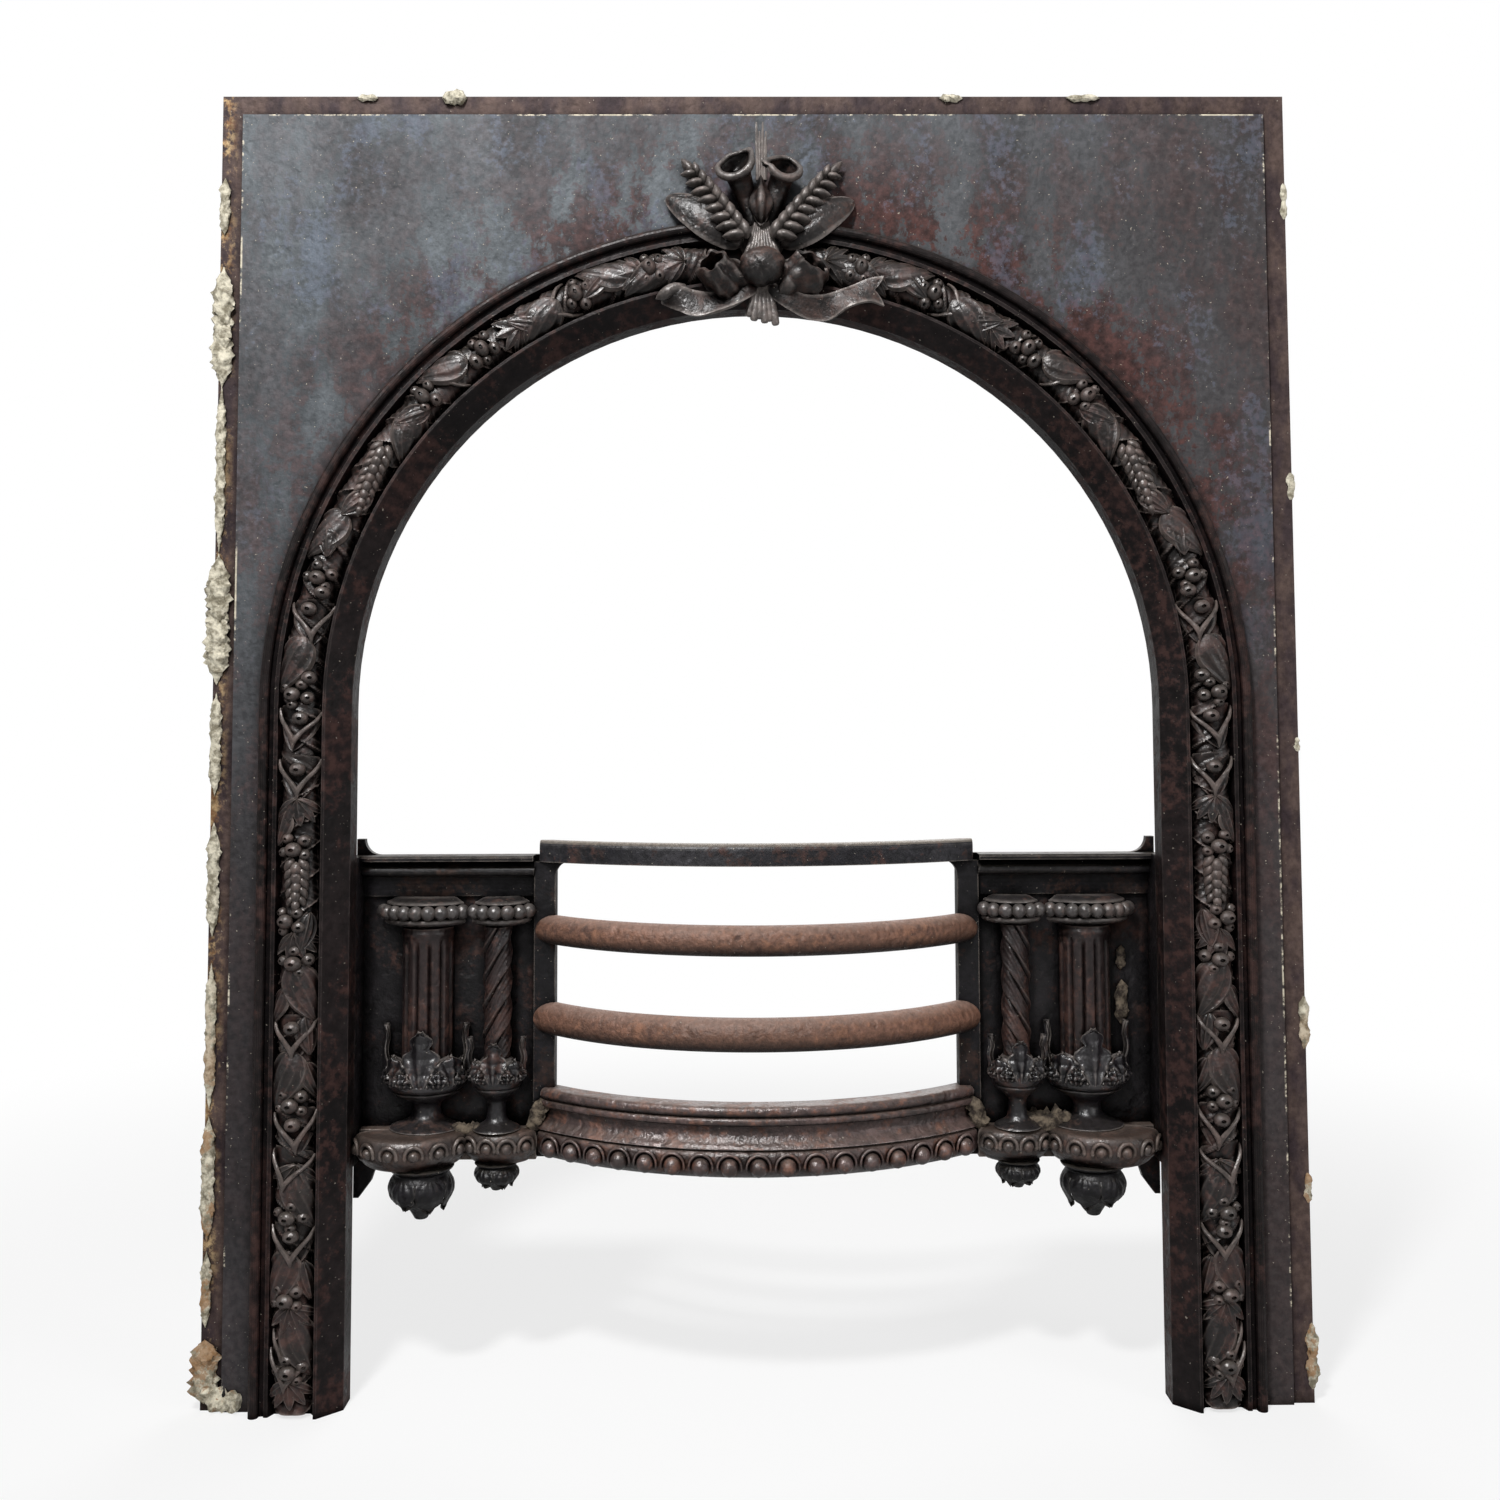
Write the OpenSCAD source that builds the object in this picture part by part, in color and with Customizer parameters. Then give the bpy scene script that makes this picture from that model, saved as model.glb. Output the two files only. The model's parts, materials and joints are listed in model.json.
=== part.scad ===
// Arched cast iron fireplace front: a face plate with a moulded round-headed opening, a garland and a
// crest, and a bowed grate between two ornamented hobs.
// +Z is up and the face looks along -Y. The origin is on the hearth, under the middle of the part.
// Inside the modules y is 0 at the front of the face plate and grows towards the back.

/* [Face plate] */
// Width of the face plate
plate_w = 802; // [780:2:860]
// Height of the face plate
plate_h = 965; // [940:1:1040]
// Thickness of the face plate
plate_t = 8; // [7:0.5:12]
// Width of the sunk border at each side
border_side_w = 16; // [8:1:20]
// Width of the sunk border along the top
border_top_w = 15; // [8:1:24]
// How deep the border is sunk
border_sink = 3; // [1:0.5:4]

/* [Arch moulding] */
// Height of the arch's centre above the hearth
spring_z = 503; // [480:1:520]
// How far the moulding stands in front of the plate
mould_proud = 12; // [10:0.5:16]
// How far the reveal runs back behind the plate's face
reveal_d = 20; // [17:1:26]
// Wall of the reveal
reveal_t = 8; // [6:0.5:9]
// Width of the splayed inner face
splay_w = 16; // [12:1:20]
// Width of the arris between the splayed face and the channel
arris_w = 2; // [1:0.5:4]
// Height of the channel's floor above the plate
channel_floor = 3; // [2:0.5:5]
// Diameter of the outer bead
outer_bead_d = 7.5; // [6:0.5:9]
// Width of the fillets between the channel and the outer bead
fillet_w = 6.5; // [5:0.5:9]

/* [Garland] */
// Width of the garland
garland_w = 25; // [22:1:30]
// How far the garland stands above the channel's floor
garland_t = 11; // [8:1:14]
// Distance from one cluster of berries to the next
berry_pitch = 78; // [60:1:100]
// Diameter of a berry
berry_d = 12; // [9:1:15]
// Lead of the leaves that wind round the garland
husk_pitch = 39; // [26:1:60]
// Height of the garland's foot above the hearth
garland_foot = 3; // [2:1:20]

/* [Crest] */
// Distance of the crest to the right of the middle
crest_x = 4.5; // [-6:0.5:6]
// Diameter of the ribbon's knot
knot_d = 28; // [22:1:34]
// Length of a wheat ear
wheat_len = 66; // [50:1:72]
// Diameter of a wheat grain
grain_d = 10.5; // [8:0.5:12]
// Diameter of a lily's rim
lily_d = 26; // [20:1:30]
// Length of a side leaf
leaf_len = 68; // [54:1:72]
// Width of a side leaf
leaf_w = 24; // [16:1:28]
// Outer diameter of a ribbon loop
loop_d = 23; // [18:1:26]
// Width of the ribbon
ribbon_w = 15; // [10:1:18]
// Thickness of the ribbon
ribbon_t = 3.5; // [2.5:0.5:5]
// Length of a ribbon tail
tail_len = 80; // [60:1:84]

/* [Hobs] */
// Clear width of a hob, from the reveal to the stile
hob_w = 130; // [127:1:140]
// Depth of the hob panel's face behind the plate's face
hob_d = 44; // [40:1:52]
// Thickness of the hob panel
panel_t = 6; // [5:0.5:9]
// Thickness of the panel's cheek
cheek_t = 6; // [5:0.5:7]
// Width of the panel's bolting flange, with the cheek
flange_w = 32; // [30:1:36]
// Height of the cornice
cornice_h = 31; // [27:1:36]
// How far the cornice's lip stands off the panel
cornice_proud = 15; // [13:1:18]
// Diameter of the cornice's roll
roll_d = 7; // [5:0.5:8]
// Height of the beaded capital
capital_h = 21; // [18:1:26]
// Diameter of a capital bead
capital_bead_d = 10; // [8:0.5:10.5]
// Distance from one capital bead to the next
capital_bead_pitch = 10.8; // [10.8:0.2:13]
// Height of the shelf's top above the hearth
shelf_z = 190; // [182:1:198]
// Thickness of the shelf
shelf_h = 24; // [20:1:28]
// Diameter of a shelf bead
shelf_bead_d = 13; // [10:0.5:15]
// Distance from one shelf bead to the next
shelf_bead_pitch = 19.5; // [17:0.5:24]
// Radius of the shelf's large lobe
large_lobe_r = 43; // [41:1:46]
// Radius of the shelf's small lobe
small_lobe_r = 31; // [29:1:33]

/* [Columns] */
// Diameter of the fluted column
fluted_d = 39; // [34:1:44]
// Number of flutes on the visible half
flutes = 7; // [5:1:9]
// Width of a flute
flute_w = 5.5; // [4:0.5:6]
// Diameter of the twisted column
twisted_d = 22; // [18:1:24]
// Height in which the twist makes one turn
twist_lead = 88; // [60:2:120]
// Diameter of the large cup's rim
large_cup_d = 59; // [52:1:62]
// Height of the large cup without its leaf tips
large_cup_h = 50; // [44:1:56]
// Diameter of the small cup's rim
small_cup_d = 38; // [34:1:41]
// Height of the small cup without its leaf tips
small_cup_h = 44; // [38:1:50]
// Diameter of the large pendant
large_pendant_d = 50; // [44:1:52]
// Height of the large pendant
large_pendant_h = 39; // [32:1:46]
// Diameter of the small pendant
small_pendant_d = 34; // [28:1:38]
// Height of the small pendant
small_pendant_h = 21; // [18:1:28]

/* [Grate] */
// Clear width between the two stiles
grate_w = 304; // [280:2:330]
// Width of each stile
stile_w = 16; // [14:1:20]
// Thickness of each stile
stile_t = 8; // [6:0.5:11]
// Height of the top rail's underside above the hearth
rail_z = 387; // [380:1:395]
// Height of the top rail
rail_h = 16; // [14:1:20]
// Thickness of the top rail
rail_t = 12; // [9:0.5:15]
// How far the top rail bows forwards
rail_bow = 46; // [30:1:56]
// Height of the upper bar's middle
upper_bar_z = 336; // [328:1:345]
// Diameter of the upper bar
upper_bar_d = 22; // [17:1:25]
// Height of the lower bar's middle
lower_bar_z = 270; // [260:1:285]
// Diameter of the lower bar
lower_bar_d = 24; // [18:1:26]
// How far the round bars bow forwards
bar_bow = 64; // [50:1:72]
// Height of the bottom rail
sill_h = 50; // [46:1:54]
// Thickness of the bottom rail
sill_t = 20; // [18:1:24]
// How far the bottom rail bows forwards
sill_bow = 60; // [46:1:66]
// Diameter of a bead on the bottom rail
sill_bead_d = 15; // [12:0.5:16]
// Distance from one bead to the next on the bottom rail
sill_bead_pitch = 20; // [17:0.5:26]

/* [Fasteners and lugs] */
// Diameter of the rivets
rivet_d = 5; // [4:0.5:6]
// Diameter of the hob bolts
bolt_d = 8; // [6:1:10]
// Diameter of the pins that hold the bars
pin_d = 5; // [4:0.5:6]
// Diameter of the hole in a wall lug
lug_hole_d = 9; // [7:0.5:11]
// Height of a wall lug
lug_h = 32; // [26:1:40]
// How far a wall lug stands back behind the plate
lug_reach = 30; // [26:1:36]
// Thickness of a wall lug
lug_t = 5; // [4:0.5:6]
// Height of the lower wall lugs
lower_lug_z = 130; // [60:5:200]
// Distance of the upper wall lugs below the plate's top
upper_lug_drop = 125; // [60:5:200]

/* [Hidden] */
$fn = 64;

plate_color = "#4a4d52";
mould_color = "#3a302c";
garland_color = "#33292a";
hob_color = "#3b3432";
bar_color = "#7c4d38";
steel_color = "#5b524c";

// Clearance round a fastener and between two castings that slip together.
fit_gap = 0.1;
cast_gap = 0.5;
// A cutting tool runs past the face that it cuts by this much.
over = 1;

// Across the part, from the middle outwards.
stile_in = grate_w / 2;
stile_out = stile_in + stile_w;
stile_mid = (stile_in + stile_out) / 2;
reveal_x = stile_out + hob_w;
arris_in = reveal_x + splay_w;
arris_out = arris_in + arris_w;
floor_in = arris_out + 4;
floor_out = floor_in + garland_w + 1;
channel_out = floor_out + 3;
mould_out = channel_out + fillet_w + outer_bead_d;
garland_r = (floor_in + floor_out) / 2;
seat_r = garland_r - 3;
rivet_r = garland_r + 5;
crest_seat_r = mould_out + 0.3;

// From the front to the back.
stile_front = hob_d - stile_t;
panel_back = hob_d + panel_t;
channel_edge = mould_proud - 3;
rivet_head_h = 2.5;
bar_front = stile_front - bar_bow - max(upper_bar_d, lower_bar_d) / 2;
mid_y = (bar_front + panel_back + rivet_head_h) / 2;

// From the hearth up.
hob_top = rail_z + 5;
capital_z = hob_top - cornice_h - capital_h;
shelf_under = shelf_z - shelf_h;
sill_z = shelf_under + 3;
knot_z = spring_z + reveal_x + 25;
lug_zs = [lower_lug_z, plate_h - upper_lug_drop];

// Columns: the large one stands by the reveal, the small one by the stile.
large_x = reveal_x - 49.5;
small_x = stile_out + 26.5;
column_y = hob_d - 3;
twisted_y = hob_d - twisted_d / 2 - 1;
large_pendant_y = hob_d + panel_t - large_pendant_d / 2 - 0.5;
small_pendant_y = hob_d + panel_t - small_pendant_d / 2 - 0.5;
large_lobe = [large_x + 9.5, hob_d - 4];
small_lobe = [small_x - 2.5, hob_d + 2];
shelf_end_x = stile_out - 3;

// Radius of an arc that bows by b over a half chord h.
function bow_radius(h, b) = (h * h + b * b) / (2 * b);
bar_r = bow_radius(stile_in, bar_bow);
rail_r = bow_radius(stile_mid, rail_bow);
sill_r = bow_radius(shelf_end_x, sill_bow);

// Points along an arc in a plane, from angle a0 to a1 in n steps.
function arc(c, r, a0, a1, n = 8) = [
    for (i = [0 : n])
        let (a = a0 + (a1 - a0) * i / n)
        [c[0] + r * cos(a), c[1] + r * sin(a)]
];

// Moves a piece from the modules' frame to the part's frame.
module placed() {
    translate([0, -mid_y, 0]) children();
}

// The modules draw the right-hand piece, and this one turns it into the left-hand one.
module left() {
    mirror([1, 0, 0]) children();
}

module both_sides() {
    children();
    left() children();
}

// A rod along Y at (x, z), from y0 at the front to y1 at the back.
module rod_y(x, z, d, y0, y1) {
    translate([x, y1, z]) rotate([90, 0, 0]) cylinder(d = d, h = y1 - y0);
}

// A rivet from y0 inside the front piece to y1 behind the last one, with its head there.
module rivet_y(x, z, d, y0, y1) {
    rod_y(x, z, d, y0, y1);
    translate([x, y1, z]) rotate([-90, 0, 0]) cylinder(d1 = 2 * d, d2 = 1.3 * d, h = rivet_head_h);
}

// Sweeps a flat outline round a vertical axis, centred on the front: x is the radius, y is the height.
module bowed(axis_y, half_angle) {
    translate([0, axis_y, 0])
        rotate([0, 0, 270 - half_angle])
            rotate_extrude(angle = 2 * half_angle, $fn = 180) children();
}

// Everything behind a plane across the part at depth y.
module behind(y) {
    translate([-plate_w, y, -over]) cube([2 * plate_w, 400, plate_h + 2 * over]);
}

// The space that the right stile and all outside it takes, which the bars' ends are cut back from.
module stile_space() {
    translate([stile_in, stile_front, 0]) cube([200, 400, plate_h]);
}

// ---------------------------------------------------------------- face plate and arch moulding

// The arch outline with half width r, standing on the hearth.
module arch_cut(r, y0, y1) {
    rod_y(0, spring_z, 2 * r, y0, y1);
    translate([-r, y0, -over]) cube([2 * r, y1 - y0, spring_z + over]);
}

module fascia_plate() {
    color(plate_color) placed() difference() {
        translate([-plate_w / 2, 0, 0]) cube([plate_w, plate_t, plate_h]);
        // Sunk border at both sides and along the top.
        both_sides()
            translate([plate_w / 2 - border_side_w, -over, -over])
                cube([border_side_w + over, border_sink + over, plate_h + 2 * over]);
        translate([-plate_w / 2 - over, -over, plate_h - border_top_w])
            cube([plate_w + 2 * over, border_sink + over, border_top_w + over]);
        arch_cut(seat_r, -over, plate_t + over);
        garland_rivet_bores();
        crest_screw_bores();
        lug_screw_bores();
    }
}

// The moulding's section: x is the distance from the arch's centre, y the height in front of the plate.
mould_section = concat(
    [[reveal_x, -reveal_d], [reveal_x, -2], [arris_in, mould_proud], [arris_out, mould_proud]],
    [[arris_out + 1.5, channel_floor + 3], [floor_in, channel_floor], [floor_out, channel_floor]],
    [[channel_out, channel_edge], [channel_out + fillet_w * 0.45, channel_edge]],
    [[channel_out + fillet_w * 0.55, channel_edge - 2], [channel_out + fillet_w * 0.75, channel_edge - 2]],
    [[channel_out + fillet_w, mould_proud - outer_bead_d / 2 - 1]],
    arc([mould_out - outer_bead_d / 2, mould_proud - outer_bead_d / 2], outer_bead_d / 2, 180, 0, 8),
    [[mould_out, 0], [seat_r - cast_gap, 0], [seat_r - cast_gap, -plate_t]],
    [[reveal_x + reveal_t, -plate_t], [reveal_x + reveal_t, -reveal_d]]
);

// Bolting bosses behind the moulding, one over the other beside each hob.
boss_x = reveal_x + flange_w / 2 + 4;
boss_d = bolt_d + 8;
boss_zs = [shelf_z + 30, hob_top - 40];

module arch_moulding() {
    color(mould_color) placed() difference() {
        union() {
            translate([0, 0, spring_z]) rotate([90, 0, 0])
                rotate_extrude(angle = 180, $fn = 180) polygon(mould_section);
            both_sides() mirror([0, 1, 0]) linear_extrude(height = spring_z) polygon(mould_section);
            both_sides() for (z = boss_zs) rod_y(boss_x, z, boss_d, plate_t - 1, reveal_d);
        }
        both_sides() for (z = boss_zs)
            rod_y(boss_x, z, bolt_d + 2 * fit_gap, plate_t + 2, reveal_d + over);
        garland_rivet_bores();
    }
}

// ---------------------------------------------------------------- garland

// The garland starts beside the crest and runs down to its foot.
garland_start = asin((knot_d / 2 + loop_d + 20) / garland_r);
garland_arc = garland_r * (90 - garland_start) * PI / 180;
garland_len = garland_arc + spring_z - garland_foot;
ring_step = 4.5;
ring_n = floor(garland_len / ring_step);
ring_sides = 8;

// Direction out from the opening at distance s along the garland, as an angle.
function garland_dir(s) = s < garland_arc ? 90 - garland_start - s / garland_r * 180 / PI : 0;
function garland_mid(s) = s < garland_arc
    ? [garland_r * cos(garland_dir(s)), spring_z + garland_r * sin(garland_dir(s))]
    : [garland_r, spring_z - (s - garland_arc)];

// Leaves wind round the rope, and every pitch a cluster of berries swells it.
function husk(s, a) = 0.5 + 0.5 * cos(2 * a + 360 * s / husk_pitch);
function bump(s, a, s0, a0) =
    let (d = pow((s - s0) / berry_d, 2) + pow((a - a0) / 55, 2))
    exp(-4 * d);
function berries(s, a) =
    let (u = s - berry_pitch * floor(s / berry_pitch))
    bump(u, a, berry_d * 1.4, 55) + bump(u, a, berry_d * 2.1, 125) + bump(u, a, berry_d * 2.9, 60);
function garland_swell(s, a) = 0.6 + 0.24 * husk(s, a) + 0.36 * min(1, berries(s, a));

function garland_point(s, a) =
    let (
        m = garland_mid(s),
        d = garland_dir(s),
        k = garland_swell(s, a),
        out = garland_w / 2 * cos(a) * (0.85 + 0.15 * k),
        up = garland_t * sin(a) * k
    )
    [m[0] + out * cos(d), -channel_floor - up, m[1] + out * sin(d)];

garland_points = [
    for (i = [0 : ring_n]) for (j = [0 : ring_sides])
        garland_point(garland_len * i / ring_n, 180 * j / ring_sides)
];

module garland_body() {
    m = ring_sides + 1;
    sides = [
        for (i = [0 : ring_n - 1]) for (j = [0 : ring_sides])
            let (a = i * m + j, b = i * m + (j + 1) % m, c = a + m, d = b + m)
            each [[a, d, b], [a, c, d]]
    ];
    first = [for (j = [0 : ring_sides]) j];
    last = [for (j = [ring_sides : -1 : 0]) ring_n * m + j];
    polyhedron(points = garland_points, faces = concat(sides, [first, last]));
}

garland_rivet_n = 5;
function garland_rivet_at(i) =
    let (s = garland_len * (i + 0.5) / garland_rivet_n, d = garland_dir(s), m = garland_mid(s))
    [m[0] + (rivet_r - garland_r) * cos(d), m[1] + (rivet_r - garland_r) * sin(d)];
garland_rivet_tip = -channel_floor - garland_t * 0.35;

module garland_rivet_bores() {
    both_sides() for (i = [0 : garland_rivet_n - 1])
        rod_y(garland_rivet_at(i)[0], garland_rivet_at(i)[1], rivet_d + 2 * fit_gap,
              garland_rivet_tip - fit_gap, plate_t + over);
}

module garland() {
    difference() {
        garland_body();
        garland_rivet_bores();
    }
}

module garland_left() { color(garland_color) placed() left() garland(); }
module garland_right() { color(garland_color) placed() garland(); }

module garland_rivets() {
    color(steel_color) placed() both_sides() for (i = [0 : garland_rivet_n - 1])
        rivet_y(garland_rivet_at(i)[0], garland_rivet_at(i)[1], rivet_d, garland_rivet_tip, plate_t);
}

// ---------------------------------------------------------------- crest

// A cone or rod from point a to point b.
module strut(a, b, d0, d1) {
    v = b - a;
    translate(a) rotate([0, acos(v[2] / norm(v)), atan2(v[1], v[0])])
        cylinder(d1 = d0, d2 = d1, h = norm(v));
}

// Places in the crest are measured from the knot, and these are for its left half.
wheat_dir = [-0.585, 0.13, 0.80];
wheat_base = [-9, -mould_proud - 3, 26];
wheat_side = [wheat_dir[2], 0, -wheat_dir[0]];
grain_pairs = 6;

// A grain of wheat: a drop whose point leans out along the ear.
module grain(at, side) {
    hull() {
        translate(at) sphere(d = grain_d, $fn = 10);
        translate(at + (wheat_dir * 0.85 + wheat_side * (0.35 * side)) * grain_d) sphere(d = 2.5, $fn = 6);
    }
}

// One ear: pairs of grains on a spine, with a single grain at the tip.
module wheat_ear() {
    tip = wheat_base + wheat_dir * (wheat_len - grain_d);
    strut(wheat_base, tip, grain_d, grain_d * 0.7);
    for (i = [0 : grain_pairs - 1]) for (s = [-1, 1])
        grain(wheat_base + wheat_dir * ((wheat_len - grain_d) * (i + 0.4) / grain_pairs)
              + wheat_side * (s * grain_d * 0.42) + [0, -grain_d * 0.12, 0], s);
    grain(tip, 0);
}

// A trumpet that opens up and forwards, hollow at its mouth.
module lily() {
    throat = [-3, -9, 42];
    rim = [-19, -17, 78];
    axis = (rim - throat) / norm(rim - throat);
    difference() {
        union() {
            strut(throat, rim, 9, lily_d * 0.9);
            strut(rim - axis * 2, rim + axis * 1.5, lily_d, lily_d);
        }
        strut(throat + (rim - throat) * 0.45, rim + axis * 3, 4, lily_d - 7);
    }
    strut([-2, -mould_proud - 4, 14], throat, 9, 8);
}

// A side leaf: a crowned blade with a point at each end, its root over the moulding.
module side_leaf() {
    root = [-9, -mould_proud - 3, 20];
    leaf_dir = [-0.81, 0.02, 0.58];
    middle = root + leaf_dir * (leaf_len * 0.45);
    hull() {
        translate(root) sphere(d = 7, $fn = 12);
        translate([middle[0], -4, middle[2]]) rotate([0, 36, 0]) scale([0.9, 0.6, 1])
            sphere(d = leaf_w, $fn = 16);
        translate([0, 3, 0] + root + leaf_dir * leaf_len) sphere(d = 3, $fn = 8);
    }
}

// One loop of the bow with its band to the knot, and the tail below it.
module ribbon_side(tail_turn) {
    y0 = -mould_proud - ribbon_w;
    loop_at = [-knot_d / 2 - loop_d / 2 - 6, 0, 3];
    difference() {
        union() {
            rod_y(loop_at[0], loop_at[2], loop_d, y0, -mould_proud + over);
            translate([loop_at[0], y0, -4]) cube([-loop_at[0], ribbon_w + over, loop_d * 0.5]);
        }
        rod_y(loop_at[0], loop_at[2], loop_d - 2 * ribbon_t, y0 - over, -mould_proud + 2 * over);
    }
    // The tail has a notched end.
    translate([-4, -mould_proud + over, -14]) rotate([0, tail_turn, 0]) mirror([1, 0, 0])
        rotate([90, 0, 0]) linear_extrude(height = ribbon_t + over)
            polygon([[0, -ribbon_w / 2], [tail_len, -ribbon_w / 2], [tail_len - ribbon_w * 0.6, 0],
                     [tail_len, ribbon_w / 2], [0, ribbon_w / 2]]);
}

stem_xs = [-8, -2.5, 3, 8];
crest_screw_zs = [knot_z + 48, knot_z + 62];
crest_screw_tip = -5;

module crest_screw_bores() {
    for (z = crest_screw_zs)
        rod_y(crest_x, z, rivet_d + 2 * fit_gap, crest_screw_tip - fit_gap, plate_t + over);
}

module crest_pieces() {
    $fn = 20;
    translate([crest_x, 0, knot_z]) {
        both_sides() {
            wheat_ear();
            lily();
            side_leaf();
        }
        ribbon_side(7);
        left() ribbon_side(4);
        // Stems, tied by the knot, and the bud between the lilies.
        for (x = stem_xs) strut([x * 0.9, -19, -40], [x * 0.5, -17, 20], 8, 6);
        for (x = stem_xs) strut([x * 0.5, -17, 10], [x, -mould_proud + 2, 52], 7, 7);
        translate([0, -mould_proud - knot_d * 0.35, 0]) sphere(d = knot_d, $fn = 32);
        translate([0, -9, 52]) sphere(d = 16);
        strut([0, -9, 56], [0, -8, 72], 13, 3);
        // Core between the stems, and the pad behind the flowers that takes the screws.
        translate([-6, -mould_proud - 2, 30]) cube([12, mould_proud - 4, 22]);
        translate([-9, -7, 40]) cube([18, 7, 32]);
    }
}

module crest() {
    color(mould_color) placed() difference() {
        crest_pieces();
        behind(0);
        arch_cut(crest_seat_r, -mould_proud, reveal_d);
        crest_screw_bores();
    }
}

module crest_screws() {
    color(steel_color) placed() for (z = crest_screw_zs)
        rivet_y(crest_x, z, rivet_d, crest_screw_tip, plate_t);
}

// ---------------------------------------------------------------- hobs

// Places of the rivets that hold the hob's castings to its panel, as [x, z, grip].
cornice_rivets = [for (x = [small_x, large_x]) [x, hob_top - 12, cornice_proud * 0.4]];
capital_rivets = [for (x = [small_x, large_x]) [x, capital_z + capital_h / 2, 12]];
column_rivets = [[large_x, (shelf_z + large_cup_h + capital_z) / 2, fluted_d * 0.25]];
large_cup_rivets = [[large_x, shelf_z + large_cup_h * 0.8, 10]];
small_cup_rivets = [[small_x, shelf_z + small_cup_h * 0.8, 9]];
shelf_rivets = [for (x = [small_x, large_x]) [x, shelf_z - shelf_h * 0.4, 10]];
all_hob_rivets = concat(cornice_rivets, capital_rivets, column_rivets, large_cup_rivets,
                        small_cup_rivets, shelf_rivets);

module hob_rivet_bores(places) {
    for (p = places)
        rod_y(p[0], p[1], rivet_d + 2 * fit_gap, hob_d - p[2] - fit_gap, panel_back + over);
}

module hob_rivets() {
    color(steel_color) placed() both_sides() for (p = all_hob_rivets)
        rivet_y(p[0], p[1], rivet_d, hob_d - p[2], panel_back);
}

// The panel with its cheek, its flange behind the moulding, the lower ear and the upper corner.
module hob_panel() {
    corner_r = 12;
    panel_h = hob_top - shelf_under;
    ear_h = 30;
    difference() {
        union() {
            translate([stile_in, hob_d, shelf_under])
                cube([reveal_x + cheek_t - stile_in, panel_t, panel_h]);
            translate([reveal_x, reveal_d, shelf_under])
                cube([cheek_t, panel_back - reveal_d, panel_h]);
            translate([reveal_x, reveal_d, shelf_under]) cube([flange_w, cheek_t, panel_h]);
            translate([0, panel_back, 0]) rotate([90, 0, 0]) linear_extrude(height = panel_t)
                polygon([
                    [reveal_x + cheek_t, shelf_under], [reveal_x - 15, shelf_under],
                    [reveal_x - 9, shelf_under - ear_h * 0.4], [reveal_x - 7, shelf_under - ear_h * 0.6],
                    [reveal_x + 2, shelf_under - ear_h], [reveal_x + cheek_t, shelf_under - ear_h]
                ]);
            translate([reveal_x - corner_r, hob_d, hob_top]) cube([corner_r + cheek_t, panel_t, corner_r]);
        }
        rod_y(reveal_x - corner_r, hob_top + corner_r, 2 * corner_r, hob_d - over, panel_back + over);
        hob_rivet_bores(all_hob_rivets);
        bar_pin_bores();
        for (z = boss_zs) rod_y(boss_x, z, bolt_d + 1, reveal_d - over, reveal_d + cheek_t + over);
    }
}

module hob_panel_left() { color(hob_color) placed() left() hob_panel(); }
module hob_panel_right() { color(hob_color) placed() hob_panel(); }

// Section of the cornice: x is the distance in front of the panel, y the height above its foot.
roll_at = [cornice_proud - roll_d - 1, cornice_h - 12];
cornice_section = concat(
    [[0, 0], [3, 0]],
    [for (i = [0 : 6]) let (a = 15 * i)
        [3 + (roll_at[0] - 3) * (1 - cos(a)), 1.5 + (roll_at[1] - roll_d / 2 - 1.5) * sin(a)]],
    arc(roll_at, roll_d / 2, -80, 80, 8),
    [[roll_at[0] - 1, cornice_h - 5], [cornice_proud, cornice_h - 4]],
    [[cornice_proud, cornice_h - 1.5], [cornice_proud - 1.5, cornice_h], [0, cornice_h]]
);

module hob_cornice() {
    difference() {
        translate([stile_out, hob_d, hob_top - cornice_h])
            rotate([90, 0, 90]) mirror([1, 0, 0]) linear_extrude(height = hob_w) polygon(cornice_section);
        hob_rivet_bores(cornice_rivets);
    }
}

module hob_cornice_left() { color(hob_color) placed() left() hob_cornice(); }
module hob_cornice_right() { color(hob_color) placed() hob_cornice(); }

// The capital bows out over each column. Its plan is drawn in by inset for the necking and the band.
large_cap_r = 67;
large_cap_w = fluted_d + 26;
large_cap_front = column_y - fluted_d / 2 - 8;
small_cap_r = 25;
small_cap_front = twisted_y - twisted_d / 2 - 6;
small_cap_x0 = stile_out + 4;
capital_band_inset = 4.5;

module capital_plan(inset) {
    cap_split = large_x - large_cap_w / 2;
    intersection() {
        translate([large_x, large_cap_front + large_cap_r]) circle(r = large_cap_r - inset, $fn = 128);
        translate([cap_split + inset, 0]) square([large_cap_w - 2 * inset, hob_d]);
    }
    intersection() {
        translate([small_x, small_cap_front + small_cap_r]) circle(r = small_cap_r - inset, $fn = 96);
        translate([small_cap_x0 + inset, 0]) square([cap_split - small_cap_x0, hob_d]);
    }
    translate([small_cap_x0 + inset, hob_d - 8])
        square([large_x + large_cap_w / 2 - small_cap_x0 - 2 * inset, 8]);
}

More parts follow.
